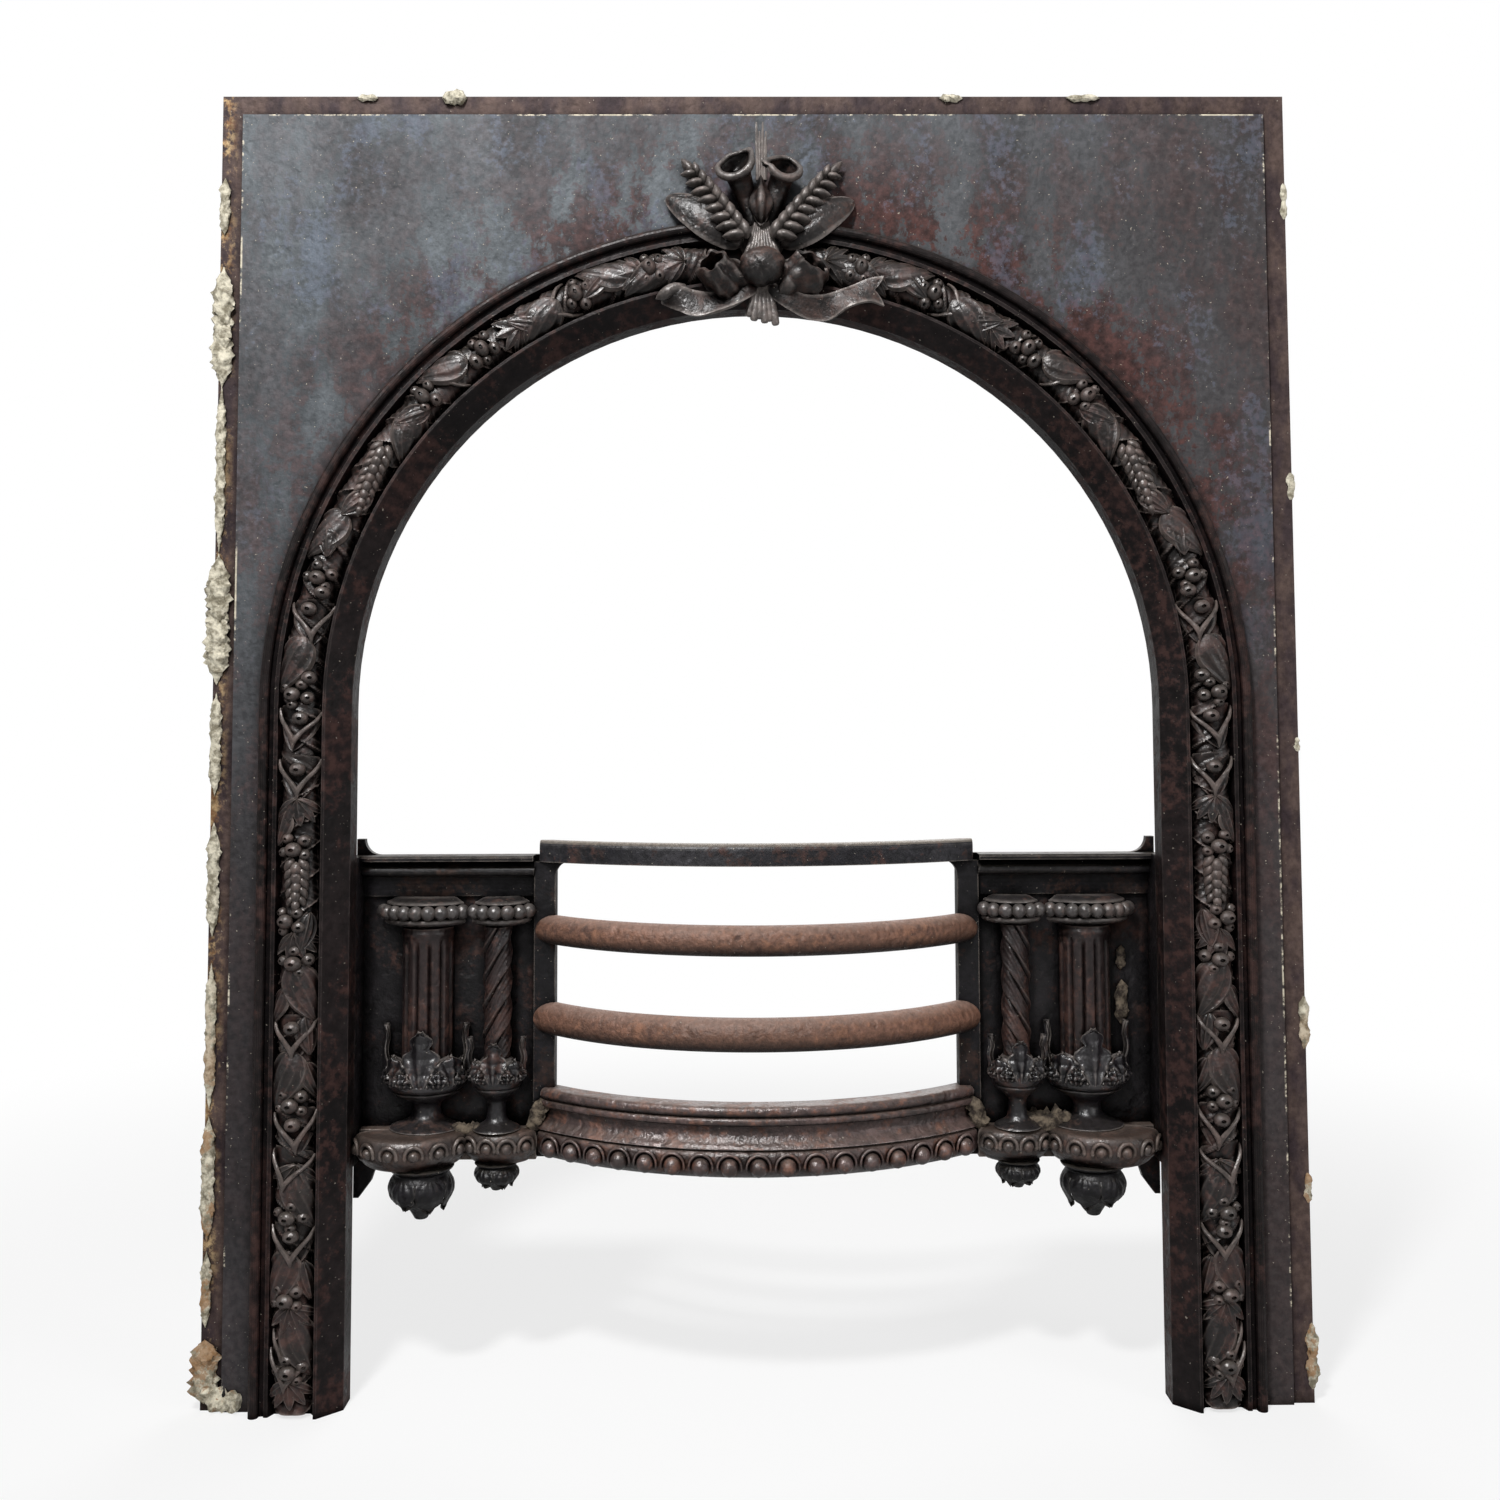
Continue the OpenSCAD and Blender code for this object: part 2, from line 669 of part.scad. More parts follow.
module beaded_capital() {
    bead_z = capital_z + capital_h * 0.5;
    large_bead_r = large_cap_r - capital_band_inset - 1.2;
    small_bead_r = small_cap_r - capital_band_inset - 1.2;
    large_step = 2 * asin(capital_bead_pitch / 2 / large_bead_r);
    small_step = 2 * asin(capital_bead_pitch / 2 / small_bead_r);
    difference() {
        union() {
            translate([0, 0, capital_z]) linear_extrude(height = 5) capital_plan(3);
            translate([0, 0, capital_z + 5]) linear_extrude(height = capital_h - 8)
                capital_plan(capital_band_inset);
            translate([0, 0, capital_z + capital_h - 3]) linear_extrude(height = 3) capital_plan(0);
            for (i = [-2.5 : 1 : 2.5])
                translate([large_x, large_cap_front + large_cap_r, bead_z])
                    rotate([0, 0, i * large_step]) translate([0, -large_bead_r, 0])
                        sphere(d = capital_bead_d, $fn = 32);
            for (i = [-1.5 : 1 : 1.5])
                translate([small_x, small_cap_front + small_cap_r, bead_z])
                    rotate([0, 0, i * small_step]) translate([0, -small_bead_r, 0])
                        sphere(d = capital_bead_d, $fn = 32);
        }
        hob_rivet_bores(capital_rivets);
    }
}

module beaded_capital_left() { color(hob_color) placed() left() beaded_capital(); }
module beaded_capital_right() { color(hob_color) placed() beaded_capital(); }

module fluted_column() {
    z0 = shelf_z + large_cup_h;
    h = capital_z - z0;
    step = 180 / flutes;
    difference() {
        translate([large_x, column_y, z0]) cylinder(d = fluted_d, h = h, $fn = 96);
        for (i = [0 : flutes - 1])
            translate([large_x, column_y, z0 + 4]) rotate([0, 0, 180 + step * (i + 0.5)])
                translate([fluted_d / 2 + flute_w * 0.1, 0, 0]) cylinder(d = flute_w, h = h - 8, $fn = 24);
        behind(hob_d);
        hob_rivet_bores(column_rivets);
    }
}

module fluted_column_left() { color(hob_color) placed() left() fluted_column(); }
module fluted_column_right() { color(hob_color) placed() fluted_column(); }

// A round shaft with four wound lobes.
twist_lobes = 4;
module twisted_column() {
    z0 = shelf_z + small_cup_h;
    h = capital_z - z0;
    outline = [
        for (a = [0 : 15 : 345])
            twisted_d / 2 * (0.87 + 0.13 * cos(twist_lobes * a)) * [cos(a), sin(a)]
    ];
    translate([small_x, twisted_y, z0])
        linear_extrude(height = h, twist = 360 * h / twist_lead, slices = 30, $fn = 24) polygon(outline);
}

module twisted_column_left() { color(bar_color) placed() left() twisted_column(); }
module twisted_column_right() { color(bar_color) placed() twisted_column(); }

// A cup on a foot: an inverted bowl, a rim and a bell with pointed leaves that clasp the shaft.
module leaf_cup(x, y, rim_d, shaft_d, h, tip_h, leaves, rivets) {
    r = rim_d / 2;
    top_r = shaft_d / 2 + 1.5;
    section = [
        [0, 0], [r * 0.68, 0], [r * 0.68, 2], [r * 0.48, 5], [r * 0.44, 8], [r * 0.44, h * 0.3],
        [r * 0.6, h * 0.38], [r * 0.88, h * 0.5], [r * 0.98, h * 0.58], [r, h * 0.64],
        [r * 0.98, h * 0.7], [r * 0.9, h * 0.74], [(r * 0.85 + top_r) / 2, h * 0.88], [top_r, h], [0, h]
    ];
    leaf_d = rim_d * 0.26;
    difference() {
        translate([x, y, shelf_z]) {
            rotate_extrude($fn = 96) polygon(section);
            for (i = [0 : leaves - 1]) rotate([0, 0, 180 + 180 * (i + 0.5) / leaves])
                strut([r * 0.86 - leaf_d * 0.3, 0, h * 0.7], [shaft_d / 2 + 0.3, 0, tip_h], leaf_d, 2);
        }
        translate([x, y, shelf_z + h]) cylinder(d = shaft_d, h = tip_h, $fn = 96);
        behind(hob_d);
        hob_rivet_bores(rivets);
    }
}

module large_cup() {
    leaf_cup(large_x, column_y, large_cup_d, fluted_d, large_cup_h, large_cup_h + 27, 5,
             large_cup_rivets);
}

module small_cup() {
    leaf_cup(small_x, twisted_y, small_cup_d, twisted_d, small_cup_h, small_cup_h + 20, 4,
             small_cup_rivets);
}

module large_cup_left() { color(hob_color) placed() left() large_cup(); }
module large_cup_right() { color(hob_color) placed() large_cup(); }
module small_cup_left() { color(hob_color) placed() left() small_cup(); }
module small_cup_right() { color(hob_color) placed() small_cup(); }

// Plan of the shelf: two lobes on a strip along the panel, cut round the stile.
module shelf_plan(inset) {
    difference() {
        intersection() {
            union() {
                translate(large_lobe) circle(r = large_lobe_r - inset, $fn = 128);
                translate(small_lobe) circle(r = small_lobe_r - inset, $fn = 128);
                translate([shelf_end_x, hob_d - 12]) square([reveal_x - shelf_end_x, 12]);
            }
            translate([shelf_end_x, -hob_d]) square([reveal_x - shelf_end_x, 2 * hob_d]);
        }
        translate([shelf_end_x - over, stile_front]) square([stile_out - shelf_end_x + over, 2 * stile_t]);
    }
}

// As many beads on a lobe as fit within half_angle of straight ahead.
module lobe_beads(centre, r, half_angle) {
    step = 2 * asin(shelf_bead_pitch / 2 / r);
    n = floor(half_angle / step);
    for (i = [-n : n])
        translate([centre[0], centre[1], shelf_under + shelf_h * 0.52])
            rotate([0, 0, i * step]) translate([0, -r, 0]) sphere(d = shelf_bead_d, $fn = 32);
}

module beaded_shelf() {
    band_inset = 3;
    difference() {
        union() {
            translate([0, 0, shelf_under]) linear_extrude(height = 4) shelf_plan(4.5);
            translate([0, 0, shelf_under + 4]) linear_extrude(height = shelf_h - 7) shelf_plan(band_inset);
            translate([0, 0, shelf_z - 3]) linear_extrude(height = 3) shelf_plan(0);
            lobe_beads(large_lobe, large_lobe_r - band_inset - 1.5, 60);
            lobe_beads(small_lobe, small_lobe_r - band_inset - 1.5, 45);
        }
        hob_rivet_bores(shelf_rivets);
        pendant_screw_bores();
    }
}

module beaded_shelf_left() { color(hob_color) placed() left() beaded_shelf(); }
module beaded_shelf_right() { color(hob_color) placed() beaded_shelf(); }

// A pendant under the shelf: a neck, a leafy cup whose tips hang down, and a bud in its middle.
module pendant(x, y, d, h, tips) {
    r = d / 2;
    section = [
        [0, 0], [r * 0.78, 0], [r * 0.78, -h * 0.1], [r * 0.7, -h * 0.18], [r * 0.96, -h * 0.3],
        [r, -h * 0.42], [r * 0.9, -h * 0.56], [r * 0.62, -h * 0.66], [r * 0.42, -h * 0.78],
        [r * 0.24, -h * 0.97], [r * 0.1, -h], [0, -h]
    ];
    translate([x, y, shelf_under]) {
        rotate_extrude($fn = 96) polygon(section);
        for (i = [0 : tips - 1]) rotate([0, 0, 360 * (i + 0.5) / tips])
            strut([r * 0.78, 0, -h * 0.4], [r * 0.86, 0, -h * 0.72], r * 0.4, r * 0.1);
    }
}

screw_grip = 7;
module pendant_screw_rods(gap) {
    for (p = [[large_x, large_pendant_y], [small_x, small_pendant_y]])
        translate([p[0], p[1], shelf_under - 12 - gap]) cylinder(d = pin_d + 2 * gap, h = 12 + screw_grip + 2 * gap);
}

module pendant_screw_bores() { pendant_screw_rods(fit_gap); }

module large_pendant() {
    difference() {
        pendant(large_x, large_pendant_y, large_pendant_d, large_pendant_h, 8);
        pendant_screw_bores();
    }
}

module small_pendant() {
    difference() {
        pendant(small_x, small_pendant_y, small_pendant_d, small_pendant_h, 6);
        pendant_screw_bores();
    }
}

module large_pendant_left() { color(hob_color) placed() left() large_pendant(); }
module large_pendant_right() { color(hob_color) placed() large_pendant(); }
module small_pendant_left() { color(hob_color) placed() left() small_pendant(); }
module small_pendant_right() { color(hob_color) placed() small_pendant(); }
module pendant_screws() { color(steel_color) placed() both_sides() pendant_screw_rods(0); }

// Bolts from behind through the panel's flange into the bosses.
module hob_bolts() {
    color(steel_color) placed() both_sides() for (z = boss_zs) {
        rod_y(boss_x, z, bolt_d, plate_t + 3, reveal_d + cheek_t);
        translate([boss_x, reveal_d + cheek_t, z]) rotate([-90, 0, 0])
            cylinder(d = bolt_d * 1.8, h = bolt_d * 0.65, $fn = 6);
    }
}

// ---------------------------------------------------------------- grate

stile_fillet = 11;

module grate_stile() {
    difference() {
        union() {
            translate([stile_in, stile_front, sill_z]) cube([stile_w, stile_t, rail_z - sill_z]);
            translate([stile_in - stile_fillet, stile_front, rail_z - stile_fillet])
                cube([stile_fillet + 1, stile_t, stile_fillet]);
        }
        rod_y(stile_in - stile_fillet, rail_z - stile_fillet, 2 * stile_fillet, stile_front - over,
              hob_d + over);
        bar_pin_bores();
        rail_dowel_rods(fit_gap);
    }
}

module grate_stile_left() { color(hob_color) placed() left() grate_stile(); }
module grate_stile_right() { color(hob_color) placed() grate_stile(); }

// A round bar, bowed forwards, its ends notched over the stiles.
module round_bar(z, d) {
    difference() {
        bowed(stile_front - bar_bow + bar_r, asin(min(0.98, (stile_out + 10) / bar_r)))
            translate([bar_r, z]) circle(d = d, $fn = 48);
        both_sides() stile_space();
        behind(hob_d);
        both_sides() bar_pin_bores();
    }
}

module upper_bar() { color(bar_color) placed() round_bar(upper_bar_z, upper_bar_d); }
module lower_bar() { color(bar_color) placed() round_bar(lower_bar_z, lower_bar_d); }

// The flat top rail has a rounded front upper edge and rests on the stiles.
module top_rail() {
    round_r = rail_t * 0.4;
    end_x = stile_out - 4;
    section = concat(
        [[rail_r - rail_t / 2, rail_z], [rail_r + rail_t / 2, rail_z]],
        arc([rail_r + rail_t / 2 - round_r, rail_z + rail_h - round_r], round_r, 0, 90, 5),
        [[rail_r - rail_t / 2, rail_z + rail_h]]
    );
    color(hob_color) placed() difference() {
        bowed(hob_d - stile_t / 2 - rail_bow + rail_r, asin((stile_out + 10) / rail_r)) polygon(section);
        both_sides() translate([end_x, -hob_d, 0]) cube([50, 3 * hob_d, plate_h]);
        behind(hob_d);
        both_sides() rail_dowel_rods(fit_gap);
    }
}

// The bottom rail: a bead course, a cavetto and a roll, bowed like the bars.
module bottom_rail() {
    r = sill_r;
    band = sill_h * 0.35;
    bead_r = r - 6;
    bead_step = 2 * asin(sill_bead_pitch / 2 / bead_r);
    bead_n = floor(asin((shelf_end_x - sill_bead_d / 2) / bead_r) / bead_step);
    roll_r = sill_h * 0.07;
    cavetto_d = 4.5;
    section = concat(
        [[r - sill_t, 0], [r - 5, 0], [r - 4, 1], [r - 4, band], [r, band + 0.5]],
        [[r, band + 4]],
        [for (i = [0 : 6]) let (a = 15 * i)
            [r - 1.5 - cavetto_d * sin(a), band + 4 + (sill_h * 0.78 - band - 4) * (1 - cos(a))]],
        [[r - 2 - cavetto_d, sill_h - 2 * roll_r - 1.5]],
        arc([r - 2 - cavetto_d, sill_h - roll_r], roll_r, -80, 90, 6),
        [[r - sill_t, sill_h]]
    );
    color(bar_color) placed() difference() {
        union() {
            bowed(stile_front - 6 - sill_bow + r, asin((stile_out + 10) / r))
                translate([0, sill_z]) polygon(section);
            for (i = [-bead_n : bead_n])
                translate([0, stile_front - 6 - sill_bow + r, sill_z + band / 2])
                    rotate([0, 0, i * bead_step]) translate([0, -bead_r, 0])
                        sphere(d = sill_bead_d, $fn = 32);
        }
        both_sides() stile_space();
        both_sides() translate([shelf_end_x, -hob_d, 0]) cube([50, 3 * hob_d, plate_h]);
        behind(hob_d);
        both_sides() bar_pin_bores();
    }
}

// Pins through the panel and the stile into each bar and the bottom rail, as [height, grip].
pin_x = stile_in + 6;
bar_pin_places = [
    [upper_bar_z, upper_bar_d * 0.2], [lower_bar_z, lower_bar_d * 0.2], [sill_z + sill_h * 0.18, 3]
];

module bar_pin_bores() {
    for (p = bar_pin_places)
        rod_y(pin_x, p[0], pin_d + 2 * fit_gap, stile_front - p[1] - fit_gap, panel_back + over);
}

module bar_pins() {
    color(steel_color) placed() both_sides() for (p = bar_pin_places)
        rivet_y(pin_x, p[0], pin_d, stile_front - p[1], panel_back);
}

dowel_len = 18;
module rail_dowel_rods(gap) {
    translate([stile_mid - 1, hob_d - stile_t / 2, rail_z - dowel_len / 2 - gap])
        cylinder(d = pin_d * 0.8 + 2 * gap, h = dowel_len + 2 * gap);
}

module rail_dowels() { color(steel_color) placed() both_sides() rail_dowel_rods(0); }

// ---------------------------------------------------------------- wall lugs

lug_w = 26;
lug_screw_d = 6;
lug_head_d = lug_screw_d * 1.8;
lug_out = plate_w / 2 - border_side_w;
lug_screw_x = lug_out - lug_t - lug_head_d / 2 - cast_gap;

// An angle lug behind the plate: a foot that is screwed to it and an ear with the wall screw's hole.
module wall_lug(z) {
    hole_y = plate_t + lug_reach * 0.6;
    difference() {
        union() {
            translate([lug_out - lug_w, plate_t, z - lug_h / 2]) cube([lug_w, lug_t, lug_h]);
            translate([lug_out - lug_t, plate_t, z - lug_h / 2]) cube([lug_t, lug_reach, lug_h]);
        }
        translate([lug_out - lug_t - over, hole_y, z]) rotate([0, 90, 0])
            cylinder(d = lug_hole_d, h = lug_t + 2 * over);
        rod_y(lug_screw_x, z, lug_screw_d + 2 * fit_gap, plate_t - over, plate_t + lug_t + over);
    }
}

module lug_screw_bores() {
    both_sides() for (z = lug_zs)
        rod_y(lug_screw_x, z, lug_screw_d + 2 * fit_gap, border_sink + 1.5, plate_t + over);
}

module lug_screws() {
    color(steel_color) placed() both_sides() for (z = lug_zs) {
        rod_y(lug_screw_x, z, lug_screw_d, border_sink + 2, plate_t + lug_t);
        rod_y(lug_screw_x, z, lug_head_d, plate_t + lug_t, plate_t + lug_t + 3.5);
    }
}

module wall_lug_upper_left() { color(steel_color) placed() left() wall_lug(lug_zs[1]); }
module wall_lug_upper_right() { color(steel_color) placed() wall_lug(lug_zs[1]); }
module wall_lug_lower_left() { color(steel_color) placed() left() wall_lug(lug_zs[0]); }
module wall_lug_lower_right() { color(steel_color) placed() wall_lug(lug_zs[0]); }

fascia_plate();
arch_moulding();
garland_left();
garland_right();
crest();
hob_panel_left();
hob_panel_right();
hob_cornice_left();
hob_cornice_right();
beaded_capital_left();
beaded_capital_right();
fluted_column_left();
fluted_column_right();
twisted_column_left();
twisted_column_right();
large_cup_left();
large_cup_right();
small_cup_left();
small_cup_right();
beaded_shelf_left();
beaded_shelf_right();
large_pendant_left();
large_pendant_right();
small_pendant_left();
small_pendant_right();
grate_stile_left();
grate_stile_right();
top_rail();
upper_bar();
lower_bar();
bottom_rail();
bar_pins();
rail_dowels();
hob_rivets();
pendant_screws();
hob_bolts();
garland_rivets();
crest_screws();
wall_lug_upper_left();
wall_lug_upper_right();
wall_lug_lower_left();
wall_lug_lower_right();
lug_screws();
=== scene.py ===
# %% [markdown]
# # A cast iron fireplace front
#
# The real object is an arched insert of blackleaded cast iron: a flat plate, a moulded arch with a garland
# in its channel, a crest tied with a ribbon, and a bowed grate between two small ornamented hobs. The plain
# castings come from the CAD frame and only get a finish here. The carved ones are modelled in this file,
# each on a bench in millimetres, and then carried to their place on the fireplace.

# %% The frame
import json
import math

import bmesh
import bpy
import numpy as np
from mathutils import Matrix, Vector


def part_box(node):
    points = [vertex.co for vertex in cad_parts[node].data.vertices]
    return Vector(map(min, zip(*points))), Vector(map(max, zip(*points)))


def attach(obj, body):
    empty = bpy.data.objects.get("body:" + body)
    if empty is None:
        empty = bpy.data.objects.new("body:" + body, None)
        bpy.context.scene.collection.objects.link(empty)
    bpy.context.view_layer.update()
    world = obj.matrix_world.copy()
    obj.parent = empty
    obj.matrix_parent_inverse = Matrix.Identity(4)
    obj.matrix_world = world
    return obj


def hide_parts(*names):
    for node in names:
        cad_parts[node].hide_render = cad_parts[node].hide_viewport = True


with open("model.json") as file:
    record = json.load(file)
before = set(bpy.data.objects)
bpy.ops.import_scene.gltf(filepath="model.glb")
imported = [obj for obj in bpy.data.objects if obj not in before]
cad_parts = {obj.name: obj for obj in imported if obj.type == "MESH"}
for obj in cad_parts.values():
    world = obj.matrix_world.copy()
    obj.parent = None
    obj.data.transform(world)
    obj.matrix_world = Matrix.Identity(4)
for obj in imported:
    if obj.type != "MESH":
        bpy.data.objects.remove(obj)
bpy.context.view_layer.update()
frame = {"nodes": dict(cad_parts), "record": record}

MM = 0.001
nodes = frame["nodes"]
print("CAD nodes:", len(nodes))


# %% [markdown]
# ## Places taken from the frame
#
# Every carved piece has to sit on what carries it, so the few sizes that place them are read from the CAD
# nodes' own boxes. All of them are kept in millimetres, x to the right of the middle, z above the hearth
# and y behind the face of the plate, because that is how one would measure the real fireplace with a tape.

# %% Places
def box_mm(node):
    """Lowest and highest corner of a CAD node, in millimetres."""
    low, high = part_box(node)
    return np.array(low) / MM, np.array(high) / MM


# The garland lies in a channel of the moulding, whose inner wall is this far from the middle of the arch.
CHANNEL_IN = 320
FACE_Y = box_mm("fascia_plate")[0][1]
PLATE_W = 2 * box_mm("fascia_plate")[1][0]
PLATE_H = box_mm("fascia_plate")[1][2]
MOULD_OUT = box_mm("arch_moulding")[1][0]
SPRING_Z = box_mm("arch_moulding")[1][2] - MOULD_OUT
CHANNEL_FLOOR = FACE_Y - box_mm("garland_right")[1][1]
GARLAND_R = (box_mm("garland_right")[1][0] + CHANNEL_IN) / 2
SHELF_Z = box_mm("beaded_shelf_right")[1][2]
SHELF_UNDER = box_mm("beaded_shelf_right")[0][2]
CAPITAL_Z = box_mm("beaded_capital_right")[0][2]
LARGE_X = sum(b[0] for b in box_mm("fluted_column_right")) / 2
SMALL_X = sum(b[0] for b in box_mm("twisted_column_right")) / 2
print("face y", FACE_Y, "spring", SPRING_Z, "garland radius", GARLAND_R, "columns", LARGE_X, SMALL_X)


def placed(x, y, z):
    """A point of the fireplace in millimetres becomes a point of the scene in metres."""
    return np.array([x, y + FACE_Y, z]) * MM


# %% [markdown]
# ## Camera
#
# The photograph was taken with a short lens, level with the middle of the plate and tilted up a little, so
# the legs spread towards the floor. The lens and the place were worked out from the plate's four corners,
# and the small shift frames the object as the photograph does.

# %% Camera
SENSOR_MM = 36
FOCAL_PX = 1450
PHOTO_PX = 1500
EYE_MM = (-12.9, -1069.4, 483.3)
TILT_UP = 3.3
ROLL = 0.19
TURN = -0.43
SHIFT_PX = -100

bpy.ops.object.camera_add(location=placed(*EYE_MM))
camera = bpy.context.object
camera.name = "camera"
camera.rotation_euler = (math.radians(90 + TILT_UP), math.radians(ROLL), math.radians(TURN))
camera.data.sensor_width = SENSOR_MM
camera.data.lens = FOCAL_PX / PHOTO_PX * SENSOR_MM
camera.data.shift_y = SHIFT_PX / PHOTO_PX
camera.data.clip_start = 0.01
bpy.context.scene.camera = camera
print("lens", round(camera.data.lens, 2), "mm")

# %% [markdown]
# ## Light, floor and background
#
# Dark iron shows its form by soft highlights, so a wide lamp above the front gives every upward face a
# sheen and two weaker ones keep the sides readable. The background is white only for the camera and for
# reflections: the light that reaches the iron stays at a plain level. The lamp called glint stands for the
# bright patch of sky that sparkles on the polished high points; only glossy rays see it, so it does not
# flatten the plate.

# %% Light and stage
scene = bpy.context.scene
scene.view_settings.view_transform = "Standard"


def add_node(tree, kind, links=None, **settings):
    """A node with its settings; links maps an input to a value, a socket or another node."""
    node = tree.nodes.new("ShaderNode" + kind)
    for name, value in settings.items():
        setattr(node, name, value)
    for key, value in (links or {}).items():
        entry = node.inputs[key] if isinstance(key, int) else next(
            socket for socket in node.inputs if socket.enabled and socket.name == key)
        if isinstance(value, bpy.types.Node):
            value = next(socket for socket in value.outputs if socket.enabled)
        if isinstance(value, bpy.types.NodeSocket):
            tree.links.new(value, entry)
        else:
            entry.default_value = value
    return node


def seen_directly(tree):
    """1 where a camera, mirror or glass ray looks, 0 where light is gathered."""
    path = add_node(tree, "LightPath")
    total = add_node(tree, "Math", {0: path.outputs["Is Camera Ray"],
                                    1: path.outputs["Is Glossy Ray"]}, operation="ADD")
    return add_node(tree, "Math", {0: total, 1: path.outputs["Is Transmission Ray"]},
                    operation="ADD", use_clamp=True)


def make_world(light):
    """White where one looks straight at it, and a plain level of light for everything else."""
    world = bpy.data.worlds.new("studio")
    scene.world = world
    world.use_nodes = True
    tree = world.node_tree
    tree.nodes.clear()
    strength = add_node(tree, "MapRange", {"Value": seen_directly(tree), "To Min": light, "To Max": 1})
    background = add_node(tree, "Background", {"Color": (1, 1, 1, 1), "Strength": strength})
    add_node(tree, "OutputWorld", {"Surface": background})


def make_lamp(name, place_mm, aim_mm, width_m, watts):
    bpy.ops.object.light_add(type="AREA", location=placed(*place_mm))
    lamp = bpy.context.object
    lamp.name = name
    lamp.data.shape = "DISK"
    lamp.data.size = width_m
    lamp.data.energy = watts
    back = lamp.location - Vector(placed(*aim_mm))
    lamp.rotation_euler = back.to_track_quat("Z", "Y").to_euler()
    return lamp


def make_floor():
    """A white floor that keeps the shadow near the object and loses itself in the background further off."""
    bpy.ops.mesh.primitive_plane_add(size=30, location=(0, 0, 0))
    floor = bpy.context.object
    floor.name = "floor"
    material = bpy.data.materials.new("pale_floor")
    material.use_nodes = True
    tree = material.node_tree
    tree.nodes.clear()
    coordinates = add_node(tree, "TexCoord")
    distance = add_node(tree, "VectorMath", {0: coordinates.outputs["Object"]}, operation="LENGTH")
    whiteness = add_node(tree, "MapRange", {"Value": distance.outputs["Value"], "From Min": 0.5,
                                            "From Max": 1.5, "To Min": 0.72, "To Max": 1.0},
                         interpolation_type="SMOOTHSTEP")
    path = add_node(tree, "LightPath")
    share = add_node(tree, "Math", {0: path.outputs["Is Camera Ray"], 1: whiteness},
                     operation="MULTIPLY")
    paint = add_node(tree, "BsdfDiffuse", {"Color": (0.86, 0.86, 0.86, 1)})
    white = add_node(tree, "Emission", {"Color": (1, 1, 1, 1), "Strength": 1.0})
    mixed = add_node(tree, "MixShader", {0: share, 1: paint, 2: white})
    add_node(tree, "OutputMaterial", {"Surface": mixed})
    floor.data.materials.append(material)


make_world(light=0.20)
make_floor()
make_lamp("key_above", (-450, -1250, 2100), (0, 0, 500), 0.25, 40)
glint = make_lamp("glint", (-620, -1500, 1900), (0, 0, 450), 0.22, 78)
glint.visible_diffuse = False
make_lamp("fill_right", (1700, -1300, 1000), (0, 0, 450), 0.8, 9)
make_lamp("back_fill", (300, 1500, 1500), (0, 0, 500), 1.4, 12)

# %% [markdown]
# ## The iron
#
# Cast iron leaves a sand mould with a fine pebbled skin. Blackleading rubs graphite into it, so the open
# faces turn a soft blue grey, while heat and damp bring brown rust out of the pores, first in the hollows.
# So one recipe holds for every casting, with other colours and shares of rust for each: a graphite base
# that drifts over a hand's breadth, rust in patches, dust on ledges, edges lightened for wear and partly as
# a painted highlight, painted shade in the hollows and on faces that look down, and a grain that both
# colours and roughens.

# %% Iron
SPECK_MM = 2.4
FLECK_MM = 0.9
FLECK_COLOUR = "#a79f92"


def hex_linear(text):
    """An sRGB colour such as #404348 as the linear colour that a shader wants."""
    parts = [int(text[i:i + 2], 16) / 255 for i in (1, 3, 5)]
    return tuple(c / 12.92 if c <= 0.04045 else ((c + 0.055) / 1.055) ** 2.4 for c in parts) + (1.0,)


def blank_material(name):
    material = bpy.data.materials.new(name)
    material.use_nodes = True
    material.node_tree.nodes.clear()
    return material


def blob_scale(size_mm):
    """The scale at which the blobs of a noise have this size."""
    return 0.5 / (size_mm * MM)


def mottled(tree, at, patch_mm, share, stretch=(1, 1, 1)):
    """Patches that end in speckles, as rust does: 1 inside a patch, 0 on the bare blacking."""
    stretched = add_node(tree, "Mapping", {"Vector": at, "Scale": stretch})
    patches = add_node(tree, "TexNoise", {"Vector": stretched, "Scale": blob_scale(patch_mm),
                                          "Detail": 9.0, "Roughness": 0.68})
    specks = add_node(tree, "TexNoise", {"Vector": at, "Scale": blob_scale(SPECK_MM),
                                         "Detail": 3.0, "Roughness": 0.7})
    both = add_node(tree, "Mix", {"Factor": 0.3, "A": patches, "B": specks})
    edge = 0.62 - 0.24 * share
    return add_node(tree, "MapRange", {"Value": both, "From Min": edge, "From Max": edge + 0.065},
                    interpolation_type="SMOOTHSTEP")


def drifting(tree, at, first, second, size_mm, stretch=(1, 1, 1)):
    """A colour that drifts slowly between two tones."""
    stretched = add_node(tree, "Mapping", {"Vector": at, "Scale": stretch})
    cloud = add_node(tree, "TexNoise", {"Vector": stretched, "Scale": blob_scale(size_mm),
                                        "Detail": 6.0, "Roughness": 0.62})
    share = add_node(tree, "MapRange", {"Value": cloud, "From Min": 0.36, "From Max": 0.64},
                     interpolation_type="SMOOTHSTEP")
    return add_node(tree, "Mix", {"Factor": share, "A": hex_linear(first), "B": hex_linear(second)},
                    data_type="RGBA")


